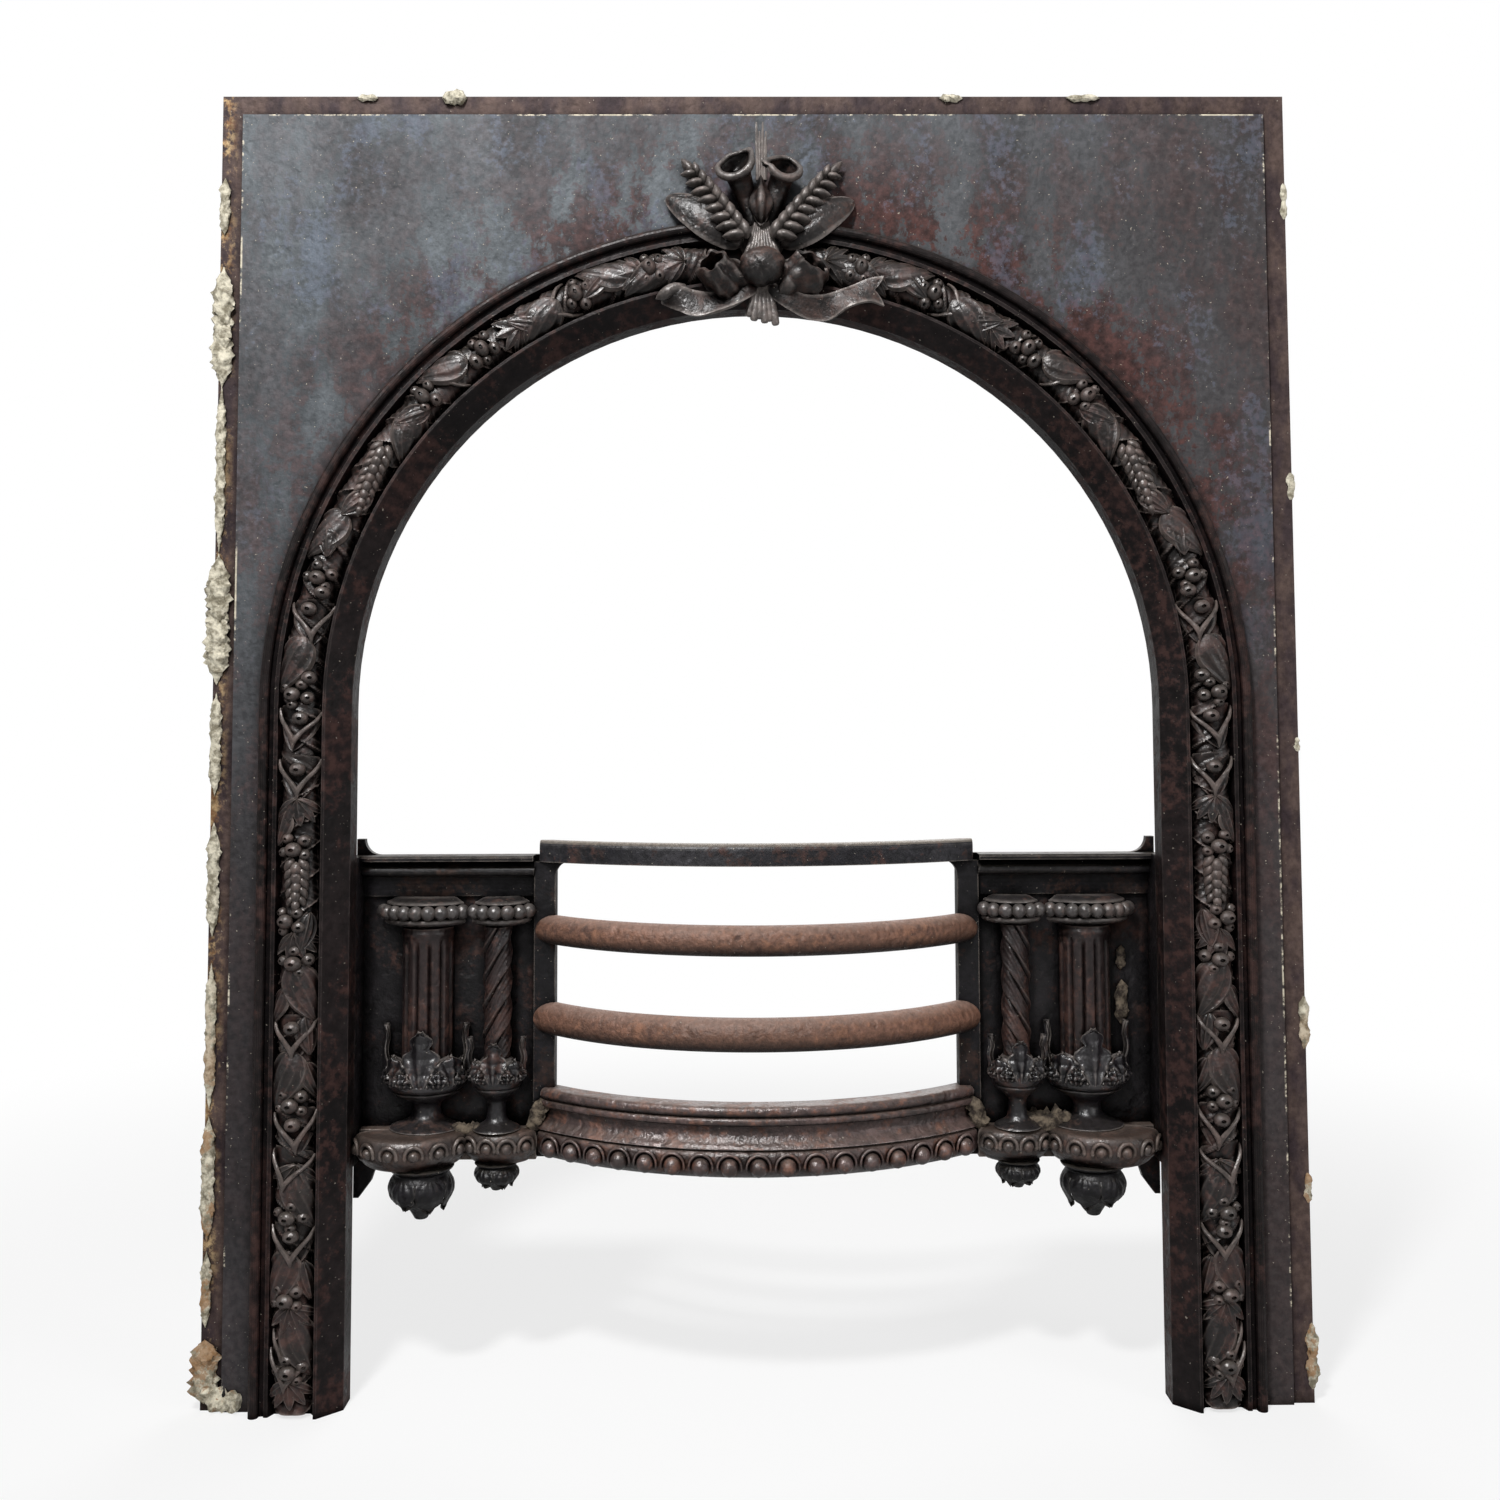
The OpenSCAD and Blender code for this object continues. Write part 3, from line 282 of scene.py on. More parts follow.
def edge_wear_and_highlight_mask(tree, geometry, shut_in, look):
    """Where hands and brushes keep an edge bright, and where the edge colour also paints a highlight. A
    carved mesh tells its edges by its points. A CAD mesh has points on edges only, so there a small
    imaginary rounding shows where the edges are."""
    if not look["arris_mm"]:
        return add_node(tree, "MapRange", {"Value": geometry.outputs["Pointiness"], "From Min": 0.52,
                                           "From Max": 0.60, "To Max": look["edge_share"]})
    rounded = add_node(tree, "Bevel", {"Radius": look["arris_mm"] * MM}, samples=4)
    same_way = add_node(tree, "VectorMath", {0: rounded, 1: geometry.outputs["Normal"]},
                        operation="DOT_PRODUCT")
    edge_wear_and_highlight = add_node(tree, "MapRange", {"Value": same_way.outputs["Value"], "From Min": 0.995,
                                         "From Max": 0.90, "To Max": look["edge_share"]})
    open_to_hands_and_light = add_node(tree, "MapRange", {"Value": shut_in, "From Max": 0.3, "To Min": 1.0,
                                                "To Max": 0.0})
    return add_node(tree, "Math", {0: edge_wear_and_highlight, 1: open_to_hands_and_light}, operation="MULTIPLY")


def finish_iron(material, at, colour, rusty, look):
    """Painted shade in the hollows and below, worn edges partly lightened as a painted highlight, dust on
    the ledges and the grain of the sand mould.
    """
    tree = material.node_tree
    geometry = add_node(tree, "NewGeometry")
    upwards = add_node(tree, "SeparateXYZ", {"Vector": geometry.outputs["Normal"]}).outputs["Z"]
    grain_scale = blob_scale(look["grain_mm"])
    grain = add_node(tree, "TexNoise", {"Vector": at, "Scale": grain_scale, "Detail": 4.0,
                                        "Roughness": 0.65})
    pocks = add_node(tree, "TexNoise", {"Vector": at, "Scale": grain_scale * 0.24, "Detail": 2.0})
    pocks = add_node(tree, "MapRange", {"Value": pocks, "From Min": 0.30, "From Max": 0.45})
    lumps = add_node(tree, "TexNoise", {"Vector": at, "Scale": blob_scale(look["lump_mm"]),
                                        "Detail": 3.0, "Roughness": 0.6})
    uneven = add_node(tree, "MapRange", {"Value": lumps, "From Min": 0.35, "From Max": 0.65,
                                         "To Min": 1 - look["uneven"], "To Max": 1 + look["uneven"]})
    flecks = add_node(tree, "TexNoise", {"Vector": at, "Scale": blob_scale(FLECK_MM), "Detail": 1.0})
    flecks = add_node(tree, "MapRange", {"Value": flecks, "From Min": 0.76, "From Max": 0.80,
                                         "To Max": look["flecks"]})

    # Painted shade: where the iron is shut in, its colour goes towards the hollow colour, as if shade fell
    # there.
    cavity = add_node(tree, "AmbientOcclusion", {"Distance": look["hollow_mm"] * MM}, samples=6)
    shut_in = add_node(tree, "MapRange", {"Value": cavity.outputs["AO"], "From Min": 0.97,
                                          "From Max": 0.40, "To Max": 0.95})
    # Edges lightened in the edge colour: wear, and partly a painted highlight.
    edge_wear_and_highlight = add_node(tree, "Math", {0: edge_wear_and_highlight_mask(tree, geometry, shut_in, look), 1: uneven},
                      operation="MULTIPLY")
    # Painted shade on faces that look down, in the hollow colour.
    under = add_node(tree, "MapRange", {"Value": upwards, "From Min": -0.05, "From Max": -0.75,
                                        "To Max": look["soot_below"]})
    level = add_node(tree, "MapRange", {"Value": upwards, "From Min": 0.45, "From Max": 0.95,
                                        "To Max": look["dust_share"]})
    dusty = add_node(tree, "Math", {0: level, 1: grain}, operation="MULTIPLY")
    colour = add_node(tree, "Mix", {"Factor": 1.0, "A": colour, "B": uneven},
                      data_type="RGBA", blend_type="MULTIPLY")
    # Coats in turn: painted shade in the hollows, worn edges with a painted highlight, painted shade below,
    # dust and flecks.
    for share, coat in ((shut_in, look["hollow"]), (edge_wear_and_highlight, look["edge"]), (under, look["hollow"]),
                        (dusty, look["dust"]), (flecks, FLECK_COLOUR)):
        colour = add_node(tree, "Mix", {"Factor": share, "A": colour, "B": hex_linear(coat)},
                          data_type="RGBA")

    gloss = add_node(tree, "MapRange", {"Value": shut_in, "From Max": 0.8, "To Min": look["sheen"],
                                        "To Max": look["sheen"] * 0.1})
    dull = add_node(tree, "MapRange", {"Value": rusty, "To Min": look["rough"],
                                       "To Max": min(1, look["rough"] + 0.22)})
    dull = add_node(tree, "Math", {0: grain, 1: 0.16, 2: dull}, operation="MULTIPLY_ADD")
    relief = add_node(tree, "Math", {0: grain, 1: pocks}, operation="ADD")
    relief = add_node(tree, "Math", {0: lumps, 1: 1.5, 2: relief}, operation="MULTIPLY_ADD")
    bump = add_node(tree, "Bump", {"Height": relief, "Distance": look["grain_depth_mm"] * MM})
    surface = add_node(tree, "BsdfPrincipled", {
        "Base Color": colour, "Roughness": dull, "Normal": bump, "Metallic": look["metallic"],
        "Specular IOR Level": gloss})
    # Under the link stays the gloss of an open face, for an export that can't carry the link.
    surface.inputs["Specular IOR Level"].default_value = look["sheen"]
    add_node(tree, "OutputMaterial", {"Surface": surface})
    return material


# Lengths are in millimetres, shares and the shader's own values run from 0 to 1.
# The hollow colour is painted shade in the hollows and on faces that look down; the edge colour marks worn
# edges and is partly a painted highlight.
PLAIN_LOOK = {
    "grain_mm": 1.5, "grain_depth_mm": 0.22, "lump_mm": 4, "uneven": 0.28, "flecks": 0.7,
    "hollow_mm": 9, "hollow": "#080607", "soot_below": 0.45,
    "arris_mm": 0.0, "edge": "#5d5450", "edge_share": 0.45,
    "dust": "#6a645c", "dust_share": 0.4, "rough": 0.38, "metallic": 0.1, "sheen": 0.16}


def cast_iron(name, graphite, bloom, rust, deep_rust, rust_share, patch_mm=20, **look):
    """A casting: graphite that drifts to its pale bloom, with rust in speckled patches."""
    material = blank_material(name)
    tree = material.node_tree
    at = add_node(tree, "TexCoord").outputs["Object"]
    rusty = mottled(tree, at, patch_mm, rust_share)
    colour = add_node(tree, "Mix", {"Factor": rusty,
                                    "A": drifting(tree, at, graphite, bloom, patch_mm * 2.2),
                                    "B": drifting(tree, at, deep_rust, rust, 4)}, data_type="RGBA")
    return finish_iron(material, at, colour, rusty, {**PLAIN_LOOK, **look})


# %% [markdown]
# ### The face plate
#
# The plate is the one casting that changes by place: blue grey where it was blacked most, at the top left,
# brown and darker towards the legs and the right, partly its own colour and partly painted shade, browner
# still on the sunk border, with a line of old plaster along the border's step. So its shares are worked out
# from where a point lies, and its colours go on like coats of paint, each over the ones before.

# %% Face plate
BORDER_SIDE = 16
BORDER_TOP = 15


def plate_border(tree, place, sideways):
    """1 on the sunk border of the plate's front, and 1 on the line of plaster along its step."""
    step_x, step_z = (PLATE_W / 2 - BORDER_SIDE) * MM, (PLATE_H - BORDER_TOP) * MM
    out = add_node(tree, "Math", {0: sideways, 1: step_x}, operation="GREATER_THAN")
    over = add_node(tree, "Math", {0: place.outputs["Z"], 1: step_z}, operation="GREATER_THAN")
    front = add_node(tree, "Math", {0: place.outputs["Y"], 1: 0.0}, operation="LESS_THAN")
    border = add_node(tree, "Math", {0: out, 1: over}, operation="MAXIMUM")
    border = add_node(tree, "Math", {0: border, 1: front}, operation="MULTIPLY")

    gaps = []
    for value, step, beyond in ((sideways, step_x - 0.2 * MM, over), (place.outputs["Z"], step_z, out)):
        gap = add_node(tree, "Math", {0: value, 1: step}, operation="SUBTRACT")
        gap = add_node(tree, "Math", {0: gap}, operation="ABSOLUTE")
        gaps.append(add_node(tree, "Math", {0: gap, 1: beyond}, operation="ADD"))
    nearest = add_node(tree, "Math", {0: gaps[0], 1: gaps[1]}, operation="MINIMUM")
    line = add_node(tree, "MapRange", {"Value": nearest, "From Min": 1.3 * MM, "From Max": 0.7 * MM})
    return border, add_node(tree, "Math", {0: line, 1: front}, operation="MULTIPLY")


def face_plate_iron():
    """The plate's shares by place, its coats and the finish that all the iron has."""
    material = blank_material("blackleaded_plate")
    tree = material.node_tree
    at = add_node(tree, "TexCoord").outputs["Object"]
    place = add_node(tree, "SeparateXYZ", {"Vector": at})
    sideways = add_node(tree, "Math", {0: place.outputs["X"]}, operation="ABSOLUTE")
    wobble = add_node(tree, "TexNoise", {"Vector": at, "Scale": 4.0, "Detail": 6.0, "Roughness": 0.7})
    # low darkens the plate towards the bottom and right towards the right side: partly its own colour,
    # partly painted shade.
    low = add_node(tree, "Math", {0: wobble, 1: 0.35, 2: place.outputs["Z"]}, operation="MULTIPLY_ADD")
    low = add_node(tree, "MapRange", {"Value": low, "From Min": 0.98, "From Max": 0.50, "To Max": 0.95},
                   interpolation_type="SMOOTHSTEP")
    high = add_node(tree, "MapRange", {"Value": low, "From Max": 0.95, "To Min": 1.0, "To Max": 0.0})
    right = add_node(tree, "MapRange", {"Value": place.outputs["X"], "From Min": -0.1,
                                        "From Max": 0.36, "To Max": 0.68})

    middle = add_node(tree, "MapRange", {"Value": place.outputs["X"], "From Min": -0.30,
                                         "From Max": 0.12, "To Min": 0.65, "To Max": 1.0})
    from_arch = add_node(tree, "VectorMath", {0: at, 1: (0, 0, SPRING_Z * MM)}, operation="SUBTRACT")
    from_arch = add_node(tree, "VectorMath", {0: from_arch}, operation="LENGTH")
    by_arch = add_node(tree, "MapRange", {"Value": from_arch.outputs["Value"],
                                          "From Min": (MOULD_OUT + 18) * MM,
                                          "From Max": (MOULD_OUT + 85) * MM, "To Min": 1.0,
                                          "To Max": 0.35})
    off_legs = add_node(tree, "MapRange", {"Value": high, "To Min": 0.4})
    by_edge = add_node(tree, "MapRange", {"Value": place.outputs["X"], "From Min": -0.388,
                                          "From Max": -0.397, "To Max": 0.85})
    border, line = plate_border(tree, place, sideways)

    patches = []
    for mottling, shares in (
            (mottled(tree, at, 22, 0.66, (1, 1, 0.5)), (middle, by_arch, off_legs)),
            (mottled(tree, at, 34, 0.40, (1, 1, 0.6)), (high, 0.4)),
            (mottled(tree, at, 14, 0.55, (1, 1, 0.4)), (by_edge,)),
            (mottled(tree, at, 14, 0.47, (0.35, 1, 0.35)), (line,))):
        for share in shares:
            mottling = add_node(tree, "Math", {0: mottling, 1: share}, operation="MULTIPLY")
        patches.append(mottling)
    rusty, bluish, halo, plaster = patches

    colour = drifting(tree, at, "#40464a", "#60676c", 55, (1, 1, 0.6))
    # The low and right coats are partly the plate's own darker brown and partly painted shade.
    for share, coat in (
            (low, drifting(tree, at, "#242326", "#343336", 40, (1, 1, 0.3))),
            (right, hex_linear("#393435")),
            (rusty, drifting(tree, at, "#2b1b1b", "#503330", 4)),
            (bluish, hex_linear("#545f70")),
            (border, drifting(tree, at, "#30262a", "#51423d", 9, (1, 1, 0.5))),
            (halo, drifting(tree, at, "#6f4c2c", "#b39a72", 3)),
            (plaster, hex_linear("#cfc6b2"))):
        colour = add_node(tree, "Mix", {"Factor": share, "A": colour, "B": coat}, data_type="RGBA")
    dull = add_node(tree, "Math", {0: rusty, 1: plaster}, operation="MAXIMUM")
    return finish_iron(material, at, colour, dull, {
        **PLAIN_LOOK, "rough": 0.5, "grain_mm": 1.3, "grain_depth_mm": 0.28, "lump_mm": 2.4,
        "uneven": 0.26, "edge_share": 0.15, "dust_share": 0.3, "sheen": 0.06, "flecks": 0.9})


# %% [markdown]
# ### One finish for each kind of casting
#
# All of these are the same grey cast iron. What differs is where a casting sat: in the fire, in the smoke,
# in the open or under a brush. Four colours give its graphite, the pale bloom on it, its rust and its deep
# rust, and the rest says how rough, worn, dusty and shut in it is.

# %% Castings
IRON = {
    # A soft blue grey that falls off into rust and soot; the calm field that everything else stands on.
    "face_plate_iron": face_plate_iron(),
    # Nearly black with rust in wide clouds; only its worn arrises, lightened partly as a painted highlight,
    # draw the arch as thin pale lines.
    "moulding_iron": cast_iron(
        "blackleaded_moulding", "#110e0e", "#1e1818", "#30201d", "#1c1313", 0.60, patch_mm=32, hollow_mm=7,
        hollow="#040304", arris_mm=1.5, edge="#5f5653", edge_share=0.35, uneven=0.4, rough=0.30, sheen=0.10),
    # Black with painted shade between the leaves and graphite bright on them, their edges partly a painted
    # highlight, so small carving reads from across a room.
    "garland_iron": cast_iron(
        "carved_casting", "#120d0c", "#221a17", "#3a241e", "#1e1211", 0.62, patch_mm=14, grain_mm=1.1,
        grain_depth_mm=0.30, lump_mm=3, uneven=0.4, hollow="#020202", hollow_mm=7, edge="#7f736d",
        edge_share=0.58, rough=0.24, sheen=0.36),
    # The same casting skin, a shade lighter and duller, as it stands out into the light and the dust.
    "crest_iron": cast_iron(
        "crest_casting", "#14100f", "#2a2321", "#3d2922", "#221714", 0.58, patch_mm=14, grain_mm=1.1,
        grain_depth_mm=0.45, lump_mm=3, uneven=0.42, hollow="#030202", hollow_mm=11, edge="#958c87",
        edge_share=0.58, dust_share=0.15, rough=0.26, sheen=0.34),
    # Cups and capitals: wet looking black, sparkling on bead and leaf tip, partly from a painted highlight
    # in the edge colour.
    "hob_iron": cast_iron(
        "hob_casting", "#100e10", "#232023", "#3c2620", "#221412", 0.46, patch_mm=16, grain_mm=1.2,
        grain_depth_mm=0.32, lump_mm=3, uneven=0.42, hollow="#020202", hollow_mm=9, edge="#8f8782",
        edge_share=0.7, dust_share=0.2, rough=0.22, sheen=0.42),
    # Shelves lie open to falling ash, so their upper side is brown grey and only the beads shine, partly
    # with a painted highlight in the edge colour.
    "hob_shelf": cast_iron(
        "dusty_shelf_casting", "#1c1817", "#352c2a", "#49332b", "#2a1b18", 0.55, patch_mm=16, grain_mm=1.2,
        grain_depth_mm=0.36, lump_mm=3, uneven=0.42, hollow="#030202", hollow_mm=10, edge="#8d8179",
        edge_share=0.6, dust="#6a5a50", dust_share=0.6, rough=0.25, sheen=0.36),
    # Pendants: the blackest of the hob castings, with faint edges and strong painted shade on their
    # undersides.
    "hob_pendant": cast_iron(
        "sooty_pendant_casting", "#0a090b", "#171518", "#20130f", "#110a0a", 0.35, patch_mm=16, grain_mm=1.2,
        grain_depth_mm=0.32, lump_mm=3, uneven=0.42, hollow="#010101", hollow_mm=9, edge="#5c5854",
        edge_share=0.35, soot_below=0.85, rough=0.30, sheen=0.20),
    # Shafts stand back in the hob, where damp stays: red brown between the flutes.
    "hob_shaft": cast_iron(
        "rusty_shaft_casting", "#161112", "#2b2120", "#422b24", "#2a1a17", 0.60, patch_mm=18, grain_mm=1.2,
        grain_depth_mm=0.28, lump_mm=3, uneven=0.4, hollow="#020202", hollow_mm=6, edge="#6b5d57",
        edge_share=0.5, rough=0.26, sheen=0.30),
    # A sheet of soot behind the columns that lets them stand free.
    "hob_panel": cast_iron(
        "sooty_panel", "#0e0c0e", "#1d1a1c", "#32201b", "#190f0f", 0.46, patch_mm=22, hollow="#020202",
        hollow_mm=12, arris_mm=1.2, edge="#6f6862", edge_share=0.5, dust="#6d655a", dust_share=0.5,
        uneven=0.5, grain_depth_mm=0.4, rough=0.32, sheen=0.20),
    # The top rail, burnt blue grey and scaled, with ash on its upper face.
    "grate_iron": cast_iron(
        "burnt_casting", "#17161a", "#2b2a2d", "#3a2723", "#211715", 0.42, patch_mm=12, grain_mm=1.8,
        lump_mm=3, uneven=0.45, grain_depth_mm=0.4, arris_mm=1.2, edge="#8a8279", edge_share=0.7,
        dust="#a89c8e", dust_share=1.0, sheen=0.22),
    # Stiles and cornices: sooty, but worn bright where a poker knocks their edges, with a painted highlight
    # there too.
    "stile_iron": cast_iron(
        "sooty_stile", "#0b0a0c", "#161417", "#30201a", "#180f0d", 0.44, patch_mm=24, hollow_mm=12,
        hollow="#020202", arris_mm=1.4, edge="#80776f", edge_share=0.6, lump_mm=3, uneven=0.5, rough=0.34,
        sheen=0.18),
    # Fire scale has eaten the bars all over: a warm matt brown, ash above and painted shade below.
    "bar_iron": cast_iron(
        "rusted_bar", "#5f4437", "#735141", "#7f5a46", "#543b31", 0.50, patch_mm=46, grain_mm=1.6,
        grain_depth_mm=0.7, lump_mm=2.2, uneven=0.30, hollow="#0c0706", hollow_mm=10, dust="#a58c80",
        dust_share=0.9, edge_share=0, soot_below=0.95, rough=0.5, sheen=0.30),
    # The bottom rail is scaled too but touched by boots, so its roll and beads shine through the rust,
    # helped by a painted highlight on their edges, with painted shade under it.
    "rail_iron": cast_iron(
        "rusted_rail", "#332724", "#564441", "#654335", "#2e1f1b", 0.50, patch_mm=16, grain_mm=1.6,
        grain_depth_mm=0.55, lump_mm=3, uneven=0.45, hollow="#040202", hollow_mm=13, edge="#aa9d98",
        arris_mm=1.4, edge_share=0.5, dust="#97857c", dust_share=0.6, soot_below=0.92, rough=0.24,
        sheen=0.45),
    # Plain forged iron, grey and even, so a screw head reads as another metal than the casting.
    "fastener_iron": cast_iron(
        "wrought_iron", "#33302f", "#4a4643", "#54403a", "#33261f", 0.45, grain_mm=1.0, grain_depth_mm=0.1),
}
FINISH_OF = {part["node"]: part["material_slot"] for part in frame["record"]["subparts"]}
for side in ("left", "right"):
    FINISH_OF[f"hob_panel_{side}"] = "hob_panel"
    FINISH_OF[f"grate_stile_{side}"] = "stile_iron"
    FINISH_OF[f"hob_cornice_{side}"] = "stile_iron"
for node_name, node in nodes.items():
    node.data.materials.clear()
    node.data.materials.append(IRON[FINISH_OF[node_name]])
print("finishes:", sorted(IRON))

# %% [markdown]
# ## The bench
#
# Carved ornament is easiest to model flat: every leaf, berry and grain is made once on a bench where one
# unit is a millimetre, X runs across, Y along and Z up towards the eye. It starts as a primitive, is shaped
# in edit mode or by a rule for its points, and copies of it are laid out and joined. Only then is the whole
# run bent round the arch. That keeps the sizes readable and lets one leaf serve fifty places.

# %% Bench tools
def deselect():
    if bpy.context.object and bpy.context.object.mode == "EDIT":
        bpy.ops.object.mode_set(mode="OBJECT")
    bpy.ops.object.select_all(action="DESELECT")


def activate(obj):
    deselect()
    obj.select_set(True)
    bpy.context.view_layer.objects.active = obj


def reshape(obj, rule):
    """Moves every point by a rule that takes and returns x, y and z."""
    mesh = obj.data
    points = np.empty(len(mesh.vertices) * 3)
    mesh.vertices.foreach_get("co", points)
    x, y, z = points.reshape(-1, 3).T
    moved = np.stack(np.broadcast_arrays(*rule(x, y, z)), axis=1)
    mesh.vertices.foreach_set("co", moved.astype(float).ravel())
    mesh.update()
    return obj


def grid(across, along):
    """A flat grid whose x and y both run from -1 to 1."""
    deselect()
    bpy.ops.mesh.primitive_grid_add(x_subdivisions=across, y_subdivisions=along, size=2)
    return bpy.context.object


def ball(segments, rings):
    deselect()
    bpy.ops.mesh.primitive_uv_sphere_add(segments=segments, ring_count=rings, radius=1)
    return bpy.context.object


def use_modifier(obj, kind, **settings):
    """Adds a modifier and applies it at once."""
    activate(obj)
    modifier = obj.modifiers.new(kind.lower(), kind)
    for name, value in settings.items():
        setattr(modifier, name, value)
    bpy.ops.object.modifier_apply(modifier=modifier.name)
    return obj


def edit_faces(obj, test):
    """Goes into edit mode with only the faces selected that pass the test."""
    activate(obj)
    bpy.ops.object.mode_set(mode="EDIT")
    bpy.ops.mesh.select_mode(type="FACE")
    bpy.ops.mesh.select_all(action="DESELECT")
    shape = bmesh.from_edit_mesh(obj.data)
    for face in shape.faces:
        face.select_set(bool(test(face)))
    bmesh.update_edit_mesh(obj.data)


def leave_edit():
    bpy.ops.object.mode_set(mode="OBJECT")


def close_seam(obj, distance=0.01):
    """Merges the points that meet, and turns every face outwards."""
    activate(obj)
    bpy.ops.object.mode_set(mode="EDIT")
    bpy.ops.mesh.select_all(action="SELECT")
    bpy.ops.mesh.remove_doubles(threshold=distance)
    bpy.ops.mesh.normals_make_consistent(inside=False)
    leave_edit()
    return obj


def copy_at(source, x, y, z=0.0, turn=0.0, scale=(1, 1, 1)):
    """A copy with its own mesh, scaled, turned clockwise in the bench's plane and moved."""
    obj = source.copy()
    obj.data = source.data.copy()
    scene.collection.objects.link(obj)
    c, s = math.cos(math.radians(turn)), math.sin(math.radians(turn))
    reshape(obj, lambda px, py, pz: (x + px * scale[0] * c + py * scale[1] * s,
                                     y - px * scale[0] * s + py * scale[1] * c, z + pz * scale[2]))
    if scale[0] * scale[1] * scale[2] < 0:
        obj.data.flip_normals()
    return obj


def joined(parts, name):
    """Makes one named object of several."""
    deselect()
    for part in parts:
        part.select_set(True)
    bpy.context.view_layer.objects.active = parts[0]
    if len(parts) > 1:
        bpy.ops.object.join()
    obj = bpy.context.view_layer.objects.active
    obj.name = name
    obj.data.name = name
    return obj


def discard(*objects):
    for obj in objects:
        bpy.data.objects.remove(obj)


def mirrored(source, name):
    """The left-hand twin of a right-hand piece, or the other way round."""
    twin = source.copy()
    twin.data = source.data.copy()
    twin.name = name
    twin.data.name = name
    scene.collection.objects.link(twin)
    reshape(twin, lambda x, y, z: (-x, y, z))
    twin.data.flip_normals()
    return twin


def along_curve(points, t):
    """Places on a smooth curve through the points, for t from 0 to 1."""
    points = np.array(points, float).reshape(len(points), -1)
    last = len(points) - 1
    place = np.clip(t, 0, 1) * last
    start = np.minimum(place.astype(int), last - 1)
    f = (place - start)[:, None]
    before, here, there, after = (points[np.clip(start + k, 0, last)] for k in (-1, 0, 1, 2))
    return 0.5 * (2 * here + (there - before) * f + (2 * before - 5 * here + 4 * there - after) * f ** 2
                  + (3 * here - before - 3 * there + after) * f ** 3)


def direction(points, t, step=0.01):
    """The way ahead along the curve through the points."""
    ahead = along_curve(points, t + step) - along_curve(points, t - step)
    return ahead / (np.linalg.norm(ahead, axis=1)[:, None] + 1e-9)


def pipe(path, radii, around=16, along=14, flat=1.0, petals=0, depth=0.0, wall=0.0, beside=(1, 0, 0)):
    """A pipe along a curve. It closes where its radius runs out, or gets a wall where it stays open."""
    obj = grid(around, along)

    def rule(x, y, z):
        t = (y + 1) / 2
        ahead = direction(path, t)
        side = np.cross(ahead, beside)
        side /= np.linalg.norm(side, axis=1)[:, None]
        up = np.cross(side, ahead)
        angle = np.pi * x
        radius = np.clip(along_curve(radii, t)[:, 0], 0, None) * (1 + depth * np.cos(petals * angle))
        return (along_curve(path, t) + side * (radius * np.cos(angle))[:, None]
                + up * (radius * flat * np.sin(angle))[:, None]).T
    reshape(obj, rule)
    close_seam(obj, 0.02)
    if wall:
        use_modifier(obj, "SOLIDIFY", thickness=wall, offset=-1)
        use_modifier(obj, "BEVEL", width=wall * 0.4, segments=3, limit_method="ANGLE",
                     angle_limit=math.radians(60))
    return obj


def ribbon(path, half_widths, lean, wall=2.0, ripple=0.0, ripples=2, notch=0.0, along=24, across=6):
    """A strip along a curve. Lean turns its width from upright (0) towards the eye, in degrees."""
    obj = grid(across, along)

    def rule(x, y, z):
        t = (y + 1) / 2
        t = t - notch * (1 - np.abs(x)) * np.clip((t - 0.7) / 0.3, 0, 1)
        half = along_curve(half_widths, t)[:, 0]
        tilt = np.radians(along_curve(lean, t)[:, 0])
        at = along_curve(path, t).T
        wave = ripple * np.sin(2 * np.pi * ripples * t + x)
        return at[0], at[1] + x * half * np.cos(tilt), at[2] + x * half * np.sin(tilt) + wave
    reshape(obj, rule)
    use_modifier(obj, "SOLIDIFY", thickness=wall, offset=0)
    return obj


def hand_over(obj, slot, stands_for, angle=40, look=None):
    """Smooths a finished piece, gives it its finish and ties it to the frame."""
    activate(obj)
    bpy.ops.object.shade_smooth_by_angle(angle=math.radians(angle))
    obj.data.materials.clear()
    obj.data.materials.append(IRON[look or slot])
    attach(obj, "root")
    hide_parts(stands_for)
    print(obj.name, len(obj.data.polygons), "faces")


# %% [markdown]
# ## Elements of the garland
#
# The garland is a rope wound with broad leaves. Along it sit clusters of berries with a dimple where the
# flower was, ears of wheat, fans of narrow leaves, and pairs of sepals whose raised rims meet in a V under a
# berry. Each element starts at its stalk and points along +Y, with its underside a little below the
# rope's skin, so that nothing floats after it is bent.

# %% Elements
def make_berry():
    berry = ball(16, 12)
    edit_faces(berry, lambda face: face.calc_center_median().z > 0.95)
    bpy.ops.mesh.inset(thickness=0.03, depth=0)
    bpy.ops.transform.translate(value=(0, 0, -0.26))
    leave_edit()
    return berry


def make_grain():
    """A grain of wheat: round at its root, pointed at its tip, keeled along its back."""
    grain = ball(10, 8)

    def rule(x, y, z):
        taper = np.clip((1 - y) / 2, 0, 1) ** 0.42 * np.clip((1 + y) / 2, 0, 1) ** 0.28 * 1.62
        side = np.hypot(x, z) + 1e-9
        keel = 1 + 0.18 * np.clip(z / side, 0, 1) ** 4
        return x / side * np.minimum(side, 1) * taper, y, z / side * np.minimum(side, 1) * taper * keel
    reshape(grain, rule)
    return grain


